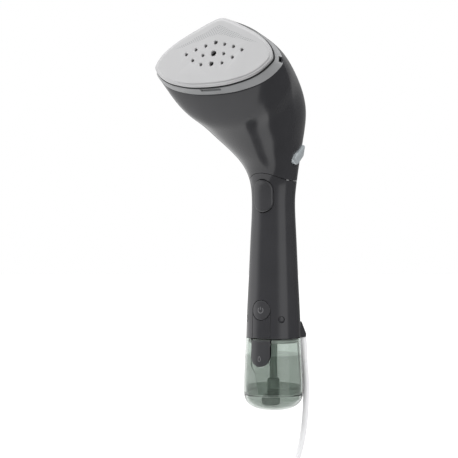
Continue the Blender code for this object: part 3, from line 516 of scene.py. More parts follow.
def tank_finish(name, colour, level_colour):
    """Smoke-tinted clear plastic, darker below a height, with faint flow marks."""
    material = finish(name, colour, 0.03, grain=120, bump=0.03, patch=30, spread=0.015, worn=1.1,
                      shade=0.03)
    tree = material.node_tree
    shader = tree.nodes["Principled BSDF"]
    shader.inputs["Transmission Weight"].default_value = 1.0
    shader.inputs["IOR"].default_value = 1.45
    axes = tree.nodes.new("ShaderNodeSeparateXYZ")
    tree.links.new(tree.nodes["Texture Coordinate"].outputs["Object"], axes.inputs[0])
    below = map_range(tree, axes.outputs["Z"], -0.0885, -0.0895, 0, 1, "SMOOTHSTEP")
    base = shader.inputs["Base Color"].links[0].from_socket
    tree.links.new(mix_colours(tree, below, base, level_colour), shader.inputs["Base Color"])
    return material


def make_finishes():
    table = {
        "housing": dict(colour=(0.034, 0.034, 0.037), rough=0.16, bump=0.03, spread=0.02),
        "controls": dict(colour=(0.042, 0.042, 0.045), rough=0.24, bump=0.08, spread=0.03),
        "mark": dict(colour=(0.13, 0.13, 0.135), rough=0.45),
        "gasket": dict(colour=(0.016, 0.016, 0.017), rough=0.55, bump=0.15),
        "band": dict(colour=(0.235, 0.238, 0.242), rough=0.42, bump=0.10),
        "side_button": dict(colour=(0.46, 0.50, 0.52), rough=0.30, metal=0.35, worn=1.3, shade=0.04),
        "lens": dict(colour=(0.03, 0.03, 0.033), rough=0.12, bump=0.02, spread=0.02),
        "rubber": dict(colour=(0.42, 0.48, 0.44), rough=0.55, bump=0.12),
        "cord": dict(colour=(0.74, 0.74, 0.75), rough=0.42, grain=1500, bump=0.10, worn=0.95, shade=0.03),
        "cast_metal": dict(colour=(0.50, 0.51, 0.52), rough=0.45, metal=1.0, grain=700, bump=0.4),
        "steel": dict(colour=(0.60, 0.60, 0.61), rough=0.28, metal=1.0, grain=1800, bump=0.1,
                      stretch=(1, 1, 0.1)),
        "inner_plastic": dict(colour=(0.62, 0.64, 0.62), rough=0.48, bump=0.12, worn=1.1),
        "silicone": dict(colour=(0.66, 0.66, 0.62), rough=0.50, bump=0.08, worn=1.1),
        "circuit_board": dict(colour=(0.03, 0.16, 0.07), rough=0.42, grain=500, bump=0.3),
        "copper": dict(colour=(0.60, 0.26, 0.12), rough=0.35, metal=1.0, grain=1400, bump=0.3,
                       stretch=(1, 1, 4)),
        "insulation": dict(colour=(0.52, 0.47, 0.38), rough=0.60, grain=600, bump=0.4),
    }
    finishes = {name: finish(name, **values) for name, values in table.items()}
    finishes["plate"] = plate_finish()
    finishes["tank"] = tank_finish("tank", (0.62, 0.67, 0.635), (0.45, 0.49, 0.46))
    return finishes


# ------------ outlines and surfaces
RING_ANGLES = [2 * math.pi * k / SIDES - math.pi / 2 for k in range(SIDES)]
PLATE_UP = Vector((0, math.sin(PLATE_TILT), math.cos(PLATE_TILT)))
PLATE_OUT = Vector((0, -math.cos(PLATE_TILT), math.sin(PLATE_TILT)))
RIM_OUT = Vector((0, -math.cos(RIM_TILT), math.sin(RIM_TILT)))
PLATE_MIDDLE = (PLATE_TOP + PLATE_BOTTOM) / 2
PLATE_HALF_HEIGHT = (PLATE_TOP - PLATE_BOTTOM) / 2


def unit_outline():
    """The plate's outline at each ring angle, for a half width and half height of 1."""
    right = [Vector((x, y, 0)) for x, y in PLATE_OUTLINE]
    left = [Vector((-x, y, 0)) for x, y in PLATE_OUTLINE[-2:0:-1]]
    loop = right + left
    path = smooth_path(loop[-2:] + loop + loop[:3], 30)
    across = np.array([point.x for point in path]) / PLATE_HALF_WIDTH
    up = (np.array([point.y for point in path]) - PLATE_MIDDLE) / PLATE_HALF_HEIGHT
    angles = np.arctan2(up, across)
    order = np.argsort(angles)
    radii = np.interp(RING_ANGLES, angles[order], np.hypot(across, up)[order], period=2 * math.pi)
    return [(r * math.cos(a), r * math.sin(a)) for r, a in zip(radii, RING_ANGLES)]


UNIT_OUTLINE = unit_outline()


def plate_ring(offset, depth):
    """The plate's outline, grown by offset, at a depth behind the plate's face (plate frame)."""
    ring = []
    for x, y in UNIT_OUTLINE:
        across, up = x * PLATE_HALF_WIDTH, y * PLATE_HALF_HEIGHT
        grow = 1 + offset / math.hypot(across, up)
        ring.append(Vector((across * grow, PLATE_MIDDLE + up * grow, -depth)) * MM)
    return ring


def plate_to_world(point):
    return PLATE_CENTRE + Vector((point.x, 0, 0)) + PLATE_UP * point.y + PLATE_OUT * point.z


def on_plate(piece):
    """Place a piece that is drawn in the plate's own frame."""
    return aim(piece, PLATE_CENTRE, PLATE_OUT, PLATE_UP)


RIM_CENTRE = (PLATE_CENTRE - PLATE_OUT * RIM_DEPTH * MM) / MM
FAN_REACH = (RIM_CENTRE.z - NECK_Z) / math.cos(RIM_TILT)
FAN_Y = RIM_CENTRE.y - FAN_REACH * math.sin(RIM_TILT)
FAN_ANGLE = math.pi / 2 - RIM_TILT


def head_section(index):
    """One section of the head, in millimetres: index 0 is the rim and 5 the neck."""
    low = [FAN_REACH + PLATE_BOTTOM - RIM_OVERHANG] + HEAD_UNDERSIDE + [-FAN_Y - NECK_RADIUS]
    high = [FAN_REACH + PLATE_TOP + RIM_OVERHANG] + HEAD_BACK + [-FAN_Y + NECK_RADIUS]
    roundness = HEAD_ROUNDNESS[index]
    turn = FAN_ANGLE * (1 - HEAD_STATIONS[index])
    ring = []
    for angle, sharp in zip(RING_ANGLES, UNIT_OUTLINE):
        across = (1 - roundness) * sharp[0] + roundness * math.cos(angle)
        up = (1 - roundness) * sharp[1] + roundness * math.sin(angle)
        reach = (low[index] + high[index]) / 2 + up * (high[index] - low[index]) / 2
        ring.append((across * HEAD_HALF_WIDTH[index], FAN_Y + reach * math.cos(turn),
                     NECK_Z + reach * math.sin(turn)))
    return ring


SKIN_RINGS = 900
SEAM_RINGS = 600                        # the seam lies within these lowest rings
FRONT_RINGS = 500                       # the handle's buttons lie within these


def body_skin():
    """Closely spaced rings of the outer surface, from the handle's foot to the head's rim."""
    sections = []
    for height, radius in HANDLE_PROFILE:
        sections.append([(radius * math.cos(a), radius * math.sin(a), height) for a in RING_ANGLES])
    sections += [head_section(index) for index in range(5, -1, -1)]
    sections = np.array(sections) * MM
    spacing = np.linalg.norm(np.diff(sections, axis=0), axis=2).mean(axis=1)
    stations = np.concatenate([[0], np.cumsum(spacing)])
    through = spline(stations, sections)
    return np.array([through(station) for station in np.linspace(0, stations[-1], SKIN_RINGS)])


SKIN = body_skin()


def skin_ring(parts):
    """A ring of the body's surface. parts gives each point's place, from 0 at the foot to 1 at the rim."""
    place = np.clip(np.asarray(parts), 0, 1) * (len(SKIN) - 1)
    below = np.minimum(place.astype(int), len(SKIN) - 2)
    share = (place - below)[:, None]
    column = np.arange(SIDES)
    return SKIN[below, column] * (1 - share) + SKIN[below + 1, column] * share


def inset_ring(ring, depth):
    """A ring drawn in towards its own middle by a depth in millimetres."""
    middle = ring.mean(axis=0)
    spokes = ring - middle
    length = np.linalg.norm(spokes, axis=1)[:, None]
    return middle + spokes * (1 - depth * MM / length)


def seam_parts(clearance):
    """Where the seam between head and handle lies, for each point round the body."""
    parts = []
    for column, angle in enumerate(RING_ANGLES):
        front = -math.sin(angle)
        lift = (SEAM_LIFT_FRONT if front > 0 else SEAM_LIFT_BACK) * abs(front) ** 3
        height = (SEAM_Z + lift + clearance) * MM
        heights = SKIN[:SEAM_RINGS, column, 2]
        parts.append(np.interp(height, heights, np.arange(SEAM_RINGS)) / (SKIN_RINGS - 1))
    return np.array(parts)


def shell_rings(start, end, count, edge=0.3):
    """Outer and inner rings of a shell between two sets of places, with rounded ends."""
    outer = []
    for k in range(count + 1):
        outer.append(skin_ring(start + (end - start) * k / count))
    tip = 0.4 * edge / count
    shoulders = [skin_ring(start + (end - start) * share) for share in (tip, 1 - tip)]
    outer = [inset_ring(outer[0], edge), shoulders[0]] + outer[1:-1]
    outer += [shoulders[1], inset_ring(skin_ring(end), edge)]
    inner = [inset_ring(skin_ring(start + (end - start) * k / 8), SHELL_WALL) for k in range(9)]
    return outer + inner[::-1]


def front_of(table, height):
    return float(np.interp(height * MM, table[:, 2], -table[:, 1])) / MM


def handle_front(x, z):
    """The y of the handle's front at a place, in millimetres."""
    reach = front_of(SKIN[:FRONT_RINGS, 0], z)
    radius = min(reach, NECK_RADIUS) if z > 60 else reach
    return -reach + radius - math.sqrt(radius ** 2 - x ** 2)


TANK_CURVE = spline([-h for h, r in TANK_PROFILE], [r for h, r in TANK_PROFILE])


def tank_front(x, z):
    radius = float(TANK_CURVE(-max(WALL_FOOT, min(z, WALL_TOP))))
    return -math.sqrt(radius ** 2 - x ** 2)


# ------------ steam head
def make_steam_plate(finishes):
    plate = loft("sole_plate", [plate_ring(*step) for step in PLATE_EDGE])
    cutters = []
    for row in HOLE_ROWS:
        for across, up, diameter in row:
            for side in ((1, -1) if across else (1,)):
                radius = diameter / 2
                profile = [(radius, -5), (radius, -HOLE_CHAMFER), (radius + HOLE_CHAMFER + 1, 1)]
                cutters.append(turned("hole", profile, 28, centre=(side * across, up)))
    on_plate(cut(plate, *cutters))
    fit(plate, "handset", "steam_plate", finishes["plate"], "steam_plate")


def make_gasket(finishes):
    profile = [(-6, 3.3), (0.2, 3.3), (0.6, 3.5), (0.7, 4.0), (0.6, 4.5), (0.2, 4.7), (-6, 4.7)]
    gasket = on_plate(loft("gasket_ring", [plate_ring(*step) for step in profile], True))
    fit(gasket, "handset", "gasket", finishes["gasket"], "plate_gasket")


def make_band(finishes):
    """The wedge-shaped ring between the hot plate and the head shell."""
    front = [[plate_to_world(p) for p in plate_ring(*step)] for step in ((-5.2, 5), (0, 5), (0.3, 5.3))]
    rim = SKIN[-1]
    lift = np.array(RIM_OUT) * 0.3 * MM
    back = [rim + lift * 1.6, inset_ring(rim, 0.3) + lift, inset_ring(rim, 5) + lift]
    band = loft("heat_band", front + back, True)
    notch = on_plate(block("notch", (-10.5, -36.5, -9.4), (10.5, -31.4, -4.0)))
    slots = []
    for side in (1, -1):
        near, far = sorted((side * 57, side * 66))
        slots.append(on_plate(block("slot", (near, -9, -16), (far, -3.5, -8.3))))
    cut(band, notch, *slots)
    fit(band, "handset", "insulating_band", finishes["band"], "insulating_band")


def make_head_shell(finishes):
    shell = loft("head_housing", shell_rings(seam_parts(SEAM_GAP / 2), np.ones(SIDES), 90), True)
    size = [side + 2 * BUTTON_GAP for side in LOCK_SIZE]
    cut(shell, lock_frame(pill_prism("opening", size, 8)))
    fit(shell, "handset", "housing", finishes["housing"], "head_shell")


def pill_outline(size, inset=0.0, centre=(0, 0), arc_steps=20):
    """The outline of a shape with round ends, long along its second axis."""
    half_width, half_length = size[0] / 2 - inset, size[1] / 2 - inset
    straight = half_length - half_width
    outline = []
    for side in (1, -1):
        for k in range(arc_steps + 1):
            angle = math.pi * k / arc_steps
            up = side * (straight + half_width * math.sin(angle))
            outline.append((centre[0] + side * half_width * math.cos(angle), centre[1] + up))
    return outline


def pill_prism(name, size, depth):
    outline = pill_outline((size[0], size[1] + 0.02))
    return loft(name, [[Vector((x, y, z)) * MM for x, y in outline] for z in (-depth, depth)])


def lock_frame(piece):
    along = Vector((0, math.cos(LOCK_SLOPE), math.sin(LOCK_SLOPE)))
    return aim(piece, LOCK_CENTRE, LOCK_NORMAL, along)


def cap(name, outline, surface, proud, edge, wall, depth_limit):
    """A button's solid, in (across, up, out) millimetres, over a curved surface.

    outline(inset) gives the outline, surface(across, up) how far out the body's surface is.
    """
    def ring(inset, lift):
        return [Vector((x, z, surface(x, z) + lift)) for x, z in outline(inset)]

    rings = []
    spans = 10
    for k in range(spans, -1, -1):
        rings.append(ring(depth_limit * k / spans, proud - wall))
    for k in range(6):
        turn = math.pi / 2 * k / 5
        rings.append(ring(edge * (1 - math.cos(turn)), proud - edge * (1 - math.sin(turn))))
    for k in range(1, spans + 1):
        rings.append(ring(edge + (depth_limit - edge) * k / spans, proud))
    return loft(name, [[point * MM for point in ring] for ring in rings])


def front_cap(name, outline, front, *sizes):
    """A cap turned so that out points along -Y. front(x, z) gives the y of the surface."""
    piece = cap(name, outline, lambda x, z: -front(x, z), *sizes)
    piece.data.transform(Matrix(((1, 0, 0, 0), (0, 0, -1, 0), (0, 1, 0, 0), (0, 0, 0, 1))))
    return piece


def make_lock_button(finishes):
    """The silver thumb button on the side of the neck."""
    shell = bpy.data.objects["head_housing"]
    tree = BVHTree.FromPolygons([v.co for v in shell.data.vertices],
                                [p.vertices for p in shell.data.polygons])
    blank = lock_frame(pill_prism("blank", LOCK_SIZE, 1))
    bpy.context.view_layer.update()
    to_world = blank.matrix_world.copy()
    bpy.data.objects.remove(blank, do_unlink=True)
    rows, heights = [], []
    for x, y in pill_outline((17, 31), arc_steps=12):
        start = to_world @ (Vector((x, y, 40)) * MM)
        hit = tree.ray_cast(start, -LOCK_NORMAL)[0]
        if hit:
            rows.append([1, x, y, x * x, x * y, y * y])
            heights.append((to_world.inverted() @ hit).z / MM)
    shape = np.linalg.lstsq(np.array(rows), np.array(heights), rcond=None)[0]

    def surface(x, y):
        return float(np.dot(shape, [1, x, y, x * x, x * y, y * y]))

    button = cap("side_button", lambda inset: pill_outline(LOCK_SIZE, inset), surface, 3.2, 1.8, 6.6,
                 LOCK_SIZE[0] / 2 - 0.3)
    lock_frame(button)
    fit(button, "steam_lock", "side_button", finishes["side_button"], "steam_lock_button")


# ------------ handle
def front_prism(name, outline):
    rings = [[Vector((x, y, z)) * MM for x, z in outline] for y in (CUT_START, PRISM_END)]
    return loft(name, rings)


def make_handle_shell(finishes):
    shell = loft("handle_housing", shell_rings(np.zeros(SIDES), seam_parts(-SEAM_GAP / 2), 110), True)
    half = LATCH_HALF_WIDTH + 0.4
    cutters = [
        front_prism("trigger_hole", pill_outline(TRIGGER_SIZE, -BUTTON_GAP, (0, TRIGGER_Z))),
        front_prism("power_hole", pill_outline(POWER_SIZE, -BUTTON_GAP, (0, POWER_Z - 0.01))),
        block("latch_hole", (-half, CUT_START, LATCH_BOTTOM - 5), (half, BLOCK_END, POWER_Z - 1)),
    ]
    for side in (1, -1):
        bore = turned("bore", [(LENS_RADIUS + 0.3, 20), (LENS_RADIUS + 0.3, 30)], 48)
        cutters.append(aim(bore, Vector((0, 0, LENS_Z)) * MM, lens_direction(side)))
    cut(shell, *cutters)
    fit(shell, "handset", "housing", finishes["housing"], "handle_shell")


def lens_direction(side):
    return Vector((side * math.sin(LENS_ANGLE), -math.cos(LENS_ANGLE), 0))


def make_lenses(finishes):
    for side, name in ((1, "left"), (-1, "right")):
        profile = [(LENS_RADIUS, 22.6), (LENS_RADIUS, 25.5), (LENS_RADIUS - 0.3, 25.75),
                   (1.5, 25.95), (0.3, 26.0)]
        lens = turned("lens_" + name, profile, 48)
        aim(lens, Vector((0, 0, LENS_Z)) * MM, lens_direction(side))
        fit(lens, "handset", "lens", finishes["lens"], "indicator_lens_" + name)


def ribbon(name, path, width, surface, lift):
    """A thin printed line on the front, along (x, z) points."""
    shape = bmesh.new()
    sides = []
    for k, (x, z) in enumerate(path):
        ahead, behind = path[min(k + 1, len(path) - 1)], path[max(k - 1, 0)]
        run = Vector((ahead[0] - behind[0], ahead[1] - behind[1])).normalized()
        pair = []
        for side in (1, -1):
            px, pz = x - run.y * side * width / 2, z + run.x * side * width / 2
            front = surface(px, pz) - lift
            pair.append([shape.verts.new(Vector((px, y, pz)) * MM) for y in (front, front + 0.1)])
        sides.append(pair)
    for (a, b), (c, d) in zip(sides, sides[1:]):
        shape.faces.new((a[0], b[0], d[0], c[0]))
        shape.faces.new((a[1], c[1], d[1], b[1]))
        shape.faces.new((a[0], c[0], c[1], a[1]))
        shape.faces.new((b[0], b[1], d[1], d[0]))
    for a, b in (sides[0], sides[-1]):
        shape.faces.new((a[0], a[1], b[1], b[0]))
    return finish_mesh(name, shape)


def make_trigger(finishes):
    button = front_cap("trigger_cap", lambda inset: pill_outline(TRIGGER_SIZE, inset, (0, TRIGGER_Z)),
                       handle_front, 2.0, 1.4, 5, TRIGGER_SIZE[0] / 2 - 0.3)
    fit(button, "trigger", "controls", finishes["controls"], "trigger_button")
    for k in range(3):
        path = []
        for step in range(12):
            sway = 0.35 * math.sin(step * 0.8)
            path.append((1.5 * (k - 1) + sway, TRIGGER_Z - 2.4 + 0.4 * step))
        mark = ribbon("steam_mark_%d" % (k + 1), path, 0.45, handle_front, 2.02)
        fit(mark, "trigger", "controls", finishes["mark"])


def make_power_button(finishes):
    button = front_cap("power_cap", lambda inset: pill_outline((18.6, 18.62), inset, (0, POWER_Z)),
                       handle_front, 0.2, 0.5, 3, 9.0)
    fit(button, "power_key", "controls", finishes["controls"], "power_button")
    arc = []
    for k in range(25):
        angle = math.radians(130 + 280 * k / 24)
        arc.append((2.7 * math.cos(angle), POWER_Z + 2.7 * math.sin(angle)))
    stem = [(0, POWER_Z + 0.6 + 0.45 * k) for k in range(7)]
    for name, path in (("power_mark_ring", arc), ("power_mark_stem", stem)):
        mark = ribbon(name, path, 0.55, handle_front, 0.22)
        fit(mark, "power_key", "controls", finishes["mark"])


def latch_outline(inset):
    """The strip's outline, with a top that follows the power button's round edge."""
    half, bottom = LATCH_HALF_WIDTH - inset, LATCH_BOTTOM + inset
    radius = POWER_SIZE[0] / 2 + BUTTON_GAP + inset
    swing = math.asin(half / radius)
    outline = []
    for k in range(25):
        angle = swing * (1 - k / 12)
        outline.append((radius * math.sin(angle), POWER_Z - radius * math.cos(angle)))
    corner = outline[0][1]
    outline += [(-half, corner + (bottom - corner) * k / 14) for k in range(1, 14)]
    outline += [(-half + 2 * half * k / 14, bottom) for k in range(15)]
    outline += [(half, bottom + (corner - bottom) * k / 14) for k in range(1, 14)]
    return outline


def make_latch(finishes):
    latch = front_cap("latch_cap", latch_outline, handle_front, 0.1, 0.4, 3, 8.2)
    fit(latch, "release_latch", "controls", finishes["housing"], "tank_release_latch")


def make_cord_guard(finishes):
    """The wedge low on the handle that the lead hangs from."""
    # (distance from the handle's axis, height, half width)
    profile = [(24, -58, 7), (26.8, -58, 7), (33.2, -70.2, 3.8), (33.0, -73.3, 3.8), (24, -73.3, 7)]
    tangent = Vector((-math.sin(CORD_ANGLE), math.cos(CORD_ANGLE), 0))
    rings = []
    for side in (-1, 1):
        ring = [CORD_OUT * r + tangent * side * w + Vector((0, 0, h)) for r, h, w in profile]
        rings.append([point * MM for point in ring])
    guard = loft("cord_outlet", rings)
    parts = [(26.9, -80), (26.9, -72.6), (26.3, -54), (26.1, -45)]
    cut(guard, turned("handle_form", parts, SIDES))
    soften(guard, 0.7 * MM)
    fit(guard, "handset", "housing", finishes["housing"], "cord_guard")


# ------------ water tank
def make_tank(finishes):
    heights = np.linspace(WALL_TOP, WALL_FOOT, 25)
    outer = [(float(TANK_CURVE(-h)), h) for h in heights]
    inner = [(r - TANK_WALL, h) for r, h in outer]
    body = turned("tank_walls", outer + inner[::-1], SIDES, True)
    half = DOOR_HALF_WIDTH + DOOR_GAP - 0.01
    cut(body, front_prism("door_hole", door_outline(-DOOR_GAP)),
        block("door_head", (-half, CUT_START, -76), (half, BLOCK_END, -70)))
    centre = (0, DOOR_BOTTOM + 8.9)
    cut(body, front_cap("finger_recess", lambda inset: pill_outline(RECESS_SIZE, inset, centre),
                        tank_front, 3, 0.1, 3.8, 9.9))
    fit(body, "water_tank", "tank", finishes["tank"], "tank_body")
    base = [(r, h, 0) for h, r in BOWL_PROFILE] + [(9, -142.6, 0), (0.8, TANK_BOTTOM, 0)]
    bowl_outer = [(p.x, p.y) for p in smooth_path(base, 5)]
    bowl_inner = []
    for r, h in bowl_outer:
        side_wall = TANK_WALL * min(1, r / 12)
        floor_wall = TANK_WALL * (1 - 0.3 * r / TANK_RADIUS)
        if h + floor_wall < -127.5:
            bowl_inner.append((max(r - side_wall, 0.5), h + floor_wall))
    profile = [(SPIGOT_RADIUS, SPIGOT_TOP), (SPIGOT_RADIUS, -125.9)] + bowl_outer + bowl_inner[::-1]
    profile += [(SPIGOT_RADIUS - TANK_WALL, -127), (SPIGOT_RADIUS - TANK_WALL, SPIGOT_TOP)]
    bowl = turned("tank_base", profile, SIDES, True)
    fit(bowl, "water_tank", "tank", finishes["tank"], "tank_bowl")


def door_outline(inset):
    """Straight at the top and round at the bottom, in (x, z) millimetres."""
    half = DOOR_HALF_WIDTH - inset
    top = DOOR_TOP - inset
    low = DOOR_BOTTOM + DOOR_HALF_WIDTH
    outline = [(half - 2 * half * k / 12, top) for k in range(12)]
    outline += [(-half, top + (low - top) * k / 12) for k in range(12)]
    outline += [(-half * math.cos(math.pi * k / 24), low - half * math.sin(math.pi * k / 24))
                for k in range(24)]
    outline += [(half, low + (top - low) * k / 12) for k in range(12)]
    return outline


def door_front(x, z):
    """The y of the tank's front, kept inside the door's sweep round its hinge."""
    front = tank_front(x, z)
    above = z - DOOR_AXIS.z
    if above > 0:
        reach = math.sqrt(max(DOOR_SWEEP ** 2 - above ** 2, 0.01))
        front = max(front, DOOR_AXIS.y - reach + DOOR_PROUD)
    return front


def make_door(finishes):
    door = front_cap("filler_door", door_outline, door_front, DOOR_PROUD, 0.5, 2.3, DOOR_HALF_WIDTH - 0.3)
    fit(door, "fill_flap", "controls", finishes["controls"], "fill_door")
    barrel = turned("door_barrel", round_profile([(1, -6), (1.8, -6), (1.8, 6), (1, 6)], 0.3), 32, True)
    aim(barrel, DOOR_AXIS * MM, (1, 0, 0))
    fit(barrel, "fill_flap", "controls", finishes["controls"])
    drop = []
    for k in range(33):
        angle = 2 * math.pi * k / 32
        width = 1.7 * math.sin(angle) * math.sin(angle / 2)
        drop.append((width, -91.5 + 2.4 * math.cos(angle)))
    mark = ribbon("drop_mark", drop, 0.4, door_front, DOOR_PROUD + 0.02)
    fit(mark, "fill_flap", "controls", finishes["mark"])


def make_suction(finishes):
    """The pick-up tube in the tank, its foot and its filter."""
    tube = turned("pickup_tube", [(3.4, -112), (3.7, -111.7), (3.7, -78.1), (3.4, -77.8)], 64)
    fit(tube, "water_tank", "rubber", finishes["rubber"], "suction_tube")
    foot = [(4.4, -128.4), (5.6, -128), (5.9, -127), (5.9, -114), (5.6, -113), (4.6, -112.3)]
    fit(turned("pickup_foot", foot, 64), "water_tank", "rubber", finishes["rubber"], "suction_foot")
    strainer = [(7.8, -138.6), (8.7, -138.2), (9, -137.4), (9, -130), (8.7, -129.2), (7.8, -128.8)]
    piece = turned("pickup_filter", strainer, 64, centre=(-1.5, -2.5))
    fit(piece, "water_tank", "rubber", finishes["rubber"], "suction_filter")


# ------------ plug and strain relief
def make_strain_relief(finishes):
    """The sleeve round the lead, which narrows from 3.6 to 3.1 mm over its lower part."""
    start = CORD_OUT * 31.0 + Vector((0, 0, -73.9))
    run = CORD_OUT * 33.0 + Vector((0, 0, -97.0)) - start
    profile = [(3.6 - 0.5 * max(0, k / 40 - 0.3) / 0.7, k / 40 * run.length) for k in range(41)]
    relief = turned("lead_strain_relief", profile, 48)
    aim(relief, start * MM, run, (0, 1, 0))
    fit(relief, "handset", "cord", finishes["cord"], "strain_relief")
    return relief


def make_plug(finishes):
    low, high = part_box("plug_body")
    start = (low + high) / 2 - PLUG_HEADING * PLUG_LENGTH / 2 * MM
    flat = (high.z - low.z) / (2 * PLUG_RADIUS * MM)
    profile = smooth_path([(3.6, 0, 0), (4.2, 5, 0), (5.0, 9, 0), (8.4, 13, 0), (13.0, 18, 0),
                           (15.2, 23, 0), (PLUG_RADIUS, 28, 0), (PLUG_RADIUS, PLUG_LENGTH - 3, 0)], 4)
    outline = [(p.x, p.y) for p in profile]
    outline += [(15.2, PLUG_LENGTH - 1.2), (14.4, PLUG_LENGTH - 0.3), (13.4, PLUG_LENGTH)]
    body = turned("plug_shell", outline, 72)
    body.data.transform(Matrix.Diagonal((1, flat, 1, 1)))
    aim(body, start, PLUG_HEADING)
    fit(body, "handset", "cord", finishes["cord"], "plug_body")
    pieces = [body]
    for side, name in ((-1, "left"), (1, "right")):
        profile = [(2.4, 0), (2.4, 16.6), (2.2, 17.6), (1.7, 18.5), (0.8, 19)]
        pin = turned("plug_prong_" + name, profile, 32)
        pin_low, pin_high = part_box("plug_pin_" + name)
        aim(pin, (pin_low + pin_high) / 2 - PLUG_HEADING * 9.5 * MM, PLUG_HEADING)
        fit(pin, "handset", "steel", finishes["steel"], "plug_pin_" + name)
        pieces.append(pin)
    return pieces


# ------------ inside
INNER_FINISHES = {
    "cast_metal": ["steam_chamber", "chamber_cover"],
    "steel": [
        "heating_element", "element_terminal_left", "element_terminal_right", "thermostat",
        "cover_screw_left", "cover_screw_right", "cover_screw_top", "frame_screw_1", "frame_screw_2",
        "door_pin",
    ],
    "insulation": ["heat_shield", "thermal_fuse"],
    "copper": ["steam_inlet", "pump_coil"],
    "inner_plastic": [
        "neck_sleeve", "steam_lock_switch", "trigger_switch", "power_switch", "handle_base",
        "socket_nozzle", "inner_frame", "water_pump", "terminal_block", "tank_lid", "cord_clamp",
    ],
    "silicone": ["switch_plunger", "water_hose_lower", "water_hose_upper", "valve_plunger"],
    "rubber": ["pump_mount_lower", "pump_mount_upper", "tank_seal", "board_capacitor"],
    "circuit_board": ["control_board"],
}


def paint_inner_nodes(finishes):
    for kind, names in INNER_FINISHES.items():
        for name in names:
            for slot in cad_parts[name].material_slots:
                slot.material = finishes[kind]


# ------------ stage
FLOOR_SHADE = 0.42
FLOOR_GLOW = 0.62
# the card's corners in metres, as (towards the camera, to the right)
LOW_CARD = [
    (0.42, -3), (0.42, -0.19), (0.27, -0.08), (0.18, 0.06), (0.05, 0.14), (-0.1, 0.2), (-0.5, 0.3),
    (-3, 0.3), (-3, -3),
]


def glowing(name, shade, strength, rough=0.5):
    """A grey that also gives off white light."""
    material = bpy.data.materials.new(name)
    material.use_nodes = True
    shader = material.node_tree.nodes["Principled BSDF"]
    shader.inputs["Base Color"].default_value = (shade, shade, shade, 1)
    shader.inputs["Roughness"].default_value = rough
    shader.inputs["Emission Color"].default_value = (1, 1, 1, 1)
    shader.inputs["Emission Strength"].default_value = strength
    return material


def make_floor():
    shape = bmesh.new()
    bmesh.ops.create_circle(shape, cap_ends=True, segments=96, radius=6)
    floor = finish_mesh("floor", shape)
    floor.location.z = FLOOR_Z
    floor.data.materials.append(glowing("white_sweep", FLOOR_SHADE, FLOOR_GLOW, 0.9))
    floor.visible_glossy = False
    floor.visible_diffuse = False


def make_low_card():
    """A bright card level with the floor, seen only in reflections, which ends before the camera."""
    shape = bmesh.new()
    shape.faces.new([shape.verts.new(TO_CAMERA * a + TO_RIGHT * b) for a, b in LOW_CARD])
    card = finish_mesh("low_card", shape)
    card.location.z = FLOOR_Z - 0.002
    card.data.materials.append(glowing("card_glow", 0.0, 1.0))
    card.visible_camera = False
    card.visible_diffuse = False
    card.visible_transmission = False
    card.visible_shadow = False


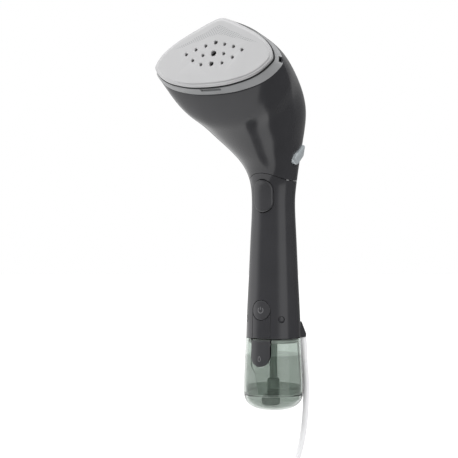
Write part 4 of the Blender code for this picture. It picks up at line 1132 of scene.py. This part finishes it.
def make_world():
    """A white studio: a bright wall on the left, a soft panel on the right, the rest dim."""
    world = bpy.data.worlds.new("studio")
    bpy.context.scene.world = world
    world.use_nodes = True
    tree = world.node_tree
    background = tree.nodes["Background"]
    background.inputs["Color"].default_value = (1, 1, 1, 1)
    direction = tree.nodes.new("ShaderNodeTexCoord").outputs["Generated"]
    turn = tree.nodes.new("ShaderNodeVectorRotate")
    turn.rotation_type = "Z_AXIS"
    turn.inputs["Angle"].default_value = math.pi / 2 - VIEW_ANGLE
    tree.links.new(direction, turn.inputs["Vector"])
    axes = tree.nodes.new("ShaderNodeSeparateXYZ")
    tree.links.new(turn.outputs["Vector"], axes.inputs[0])
    angle = link_maths(tree, "ARCTAN2", axes.outputs["Y"], axes.outputs["X"])
    degrees = link_maths(tree, "MULTIPLY", angle, 180 / math.pi)
    wall_edge = map_range(tree, degrees, -97, -62, 1.0, 0.0, "SMOOTHSTEP")
    wall = link_maths(tree, "MULTIPLY", wall_edge, map_range(tree, degrees, -180, -100, 0.3, 1.15))
    panel_start = map_range(tree, degrees, 10, 36, 0.0, 0.9, "SMOOTHSTEP")
    panel_end = map_range(tree, degrees, 57, 67, 1.0, 0.0, "SMOOTHSTEP")
    panel_foot = map_range(tree, axes.outputs["Z"], -0.35, -0.22, 0.0, 1.0, "SMOOTHSTEP")
    panel = link_maths(tree, "MULTIPLY", link_maths(tree, "MULTIPLY", panel_start, panel_end), panel_foot)
    rear = map_range(tree, degrees, 125, 180, 0.0, 0.3)
    ceiling = map_range(tree, axes.outputs["Z"], 0.6, 0.95, 0.05, 0.5, "SMOOTHSTEP")
    glow = link_maths(tree, "ADD", link_maths(tree, "ADD", wall, panel),
                      link_maths(tree, "ADD", rear, ceiling))
    path = tree.nodes.new("ShaderNodeLightPath")
    glow = link_maths(tree, "MULTIPLY_ADD", path.outputs["Is Diffuse Ray"], 0.75, glow)
    seen = link_maths(tree, "MAXIMUM", path.outputs["Is Camera Ray"], path.outputs["Is Transmission Ray"])
    strength = tree.nodes.new("ShaderNodeMix")
    tree.links.new(seen, strength.inputs["Factor"])
    tree.links.new(glow, strength.inputs[2])
    strength.inputs[3].default_value = 1.0
    tree.links.new(strength.outputs[0], background.inputs["Strength"])


def add_light(name, azimuth, height, distance, size, power):
    """A soft panel that faces the object. azimuth is from the camera, to the right."""
    lamp = bpy.data.lights.new(name, "AREA")
    lamp.shape = "RECTANGLE"
    lamp.size, lamp.size_y = size
    lamp.energy = power
    light = bpy.data.objects.new(name, lamp)
    bpy.context.scene.collection.objects.link(light)
    azimuth = math.radians(azimuth)
    out = TO_CAMERA * math.cos(azimuth) + TO_RIGHT * math.sin(azimuth)
    place = out * distance + Vector((0, 0, height))
    aim(light, place, place - Vector((0, -0.05, 0.06)))
    light.visible_glossy = False
    light.visible_camera = False
    light.visible_transmission = False


def make_stage():
    make_floor()
    make_low_card()
    make_world()
    add_light("left_panel", -60, 0.9, 1.3, (1.0, 1.0), 15)
    add_light("right_panel", 85, 0.5, 1.3, (1.0, 1.0), 3)
    add_light("front_panel", 15, 0.4, 1.5, (1.2, 1.2), 3)
    add_light("top_panel", 0, 1.6, 0.1, (1.4, 1.4), 8)
    bpy.context.scene.view_settings.view_transform = "Standard"


# ------------ assembly
def main():
    finishes = make_finishes()
    make_camera()
    lead = make_cord(finishes["cord"])
    relief = make_strain_relief(finishes)
    plug_pieces = make_plug(finishes)
    makers = [
        make_steam_plate, make_gasket, make_band, make_head_shell, make_lock_button, make_handle_shell,
        make_lenses, make_trigger, make_power_button, make_latch, make_cord_guard, make_tank, make_door,
        make_suction,
    ]
    for make in makers:
        make(finishes)
    paint_inner_nodes(finishes)
    make_stage()


main()
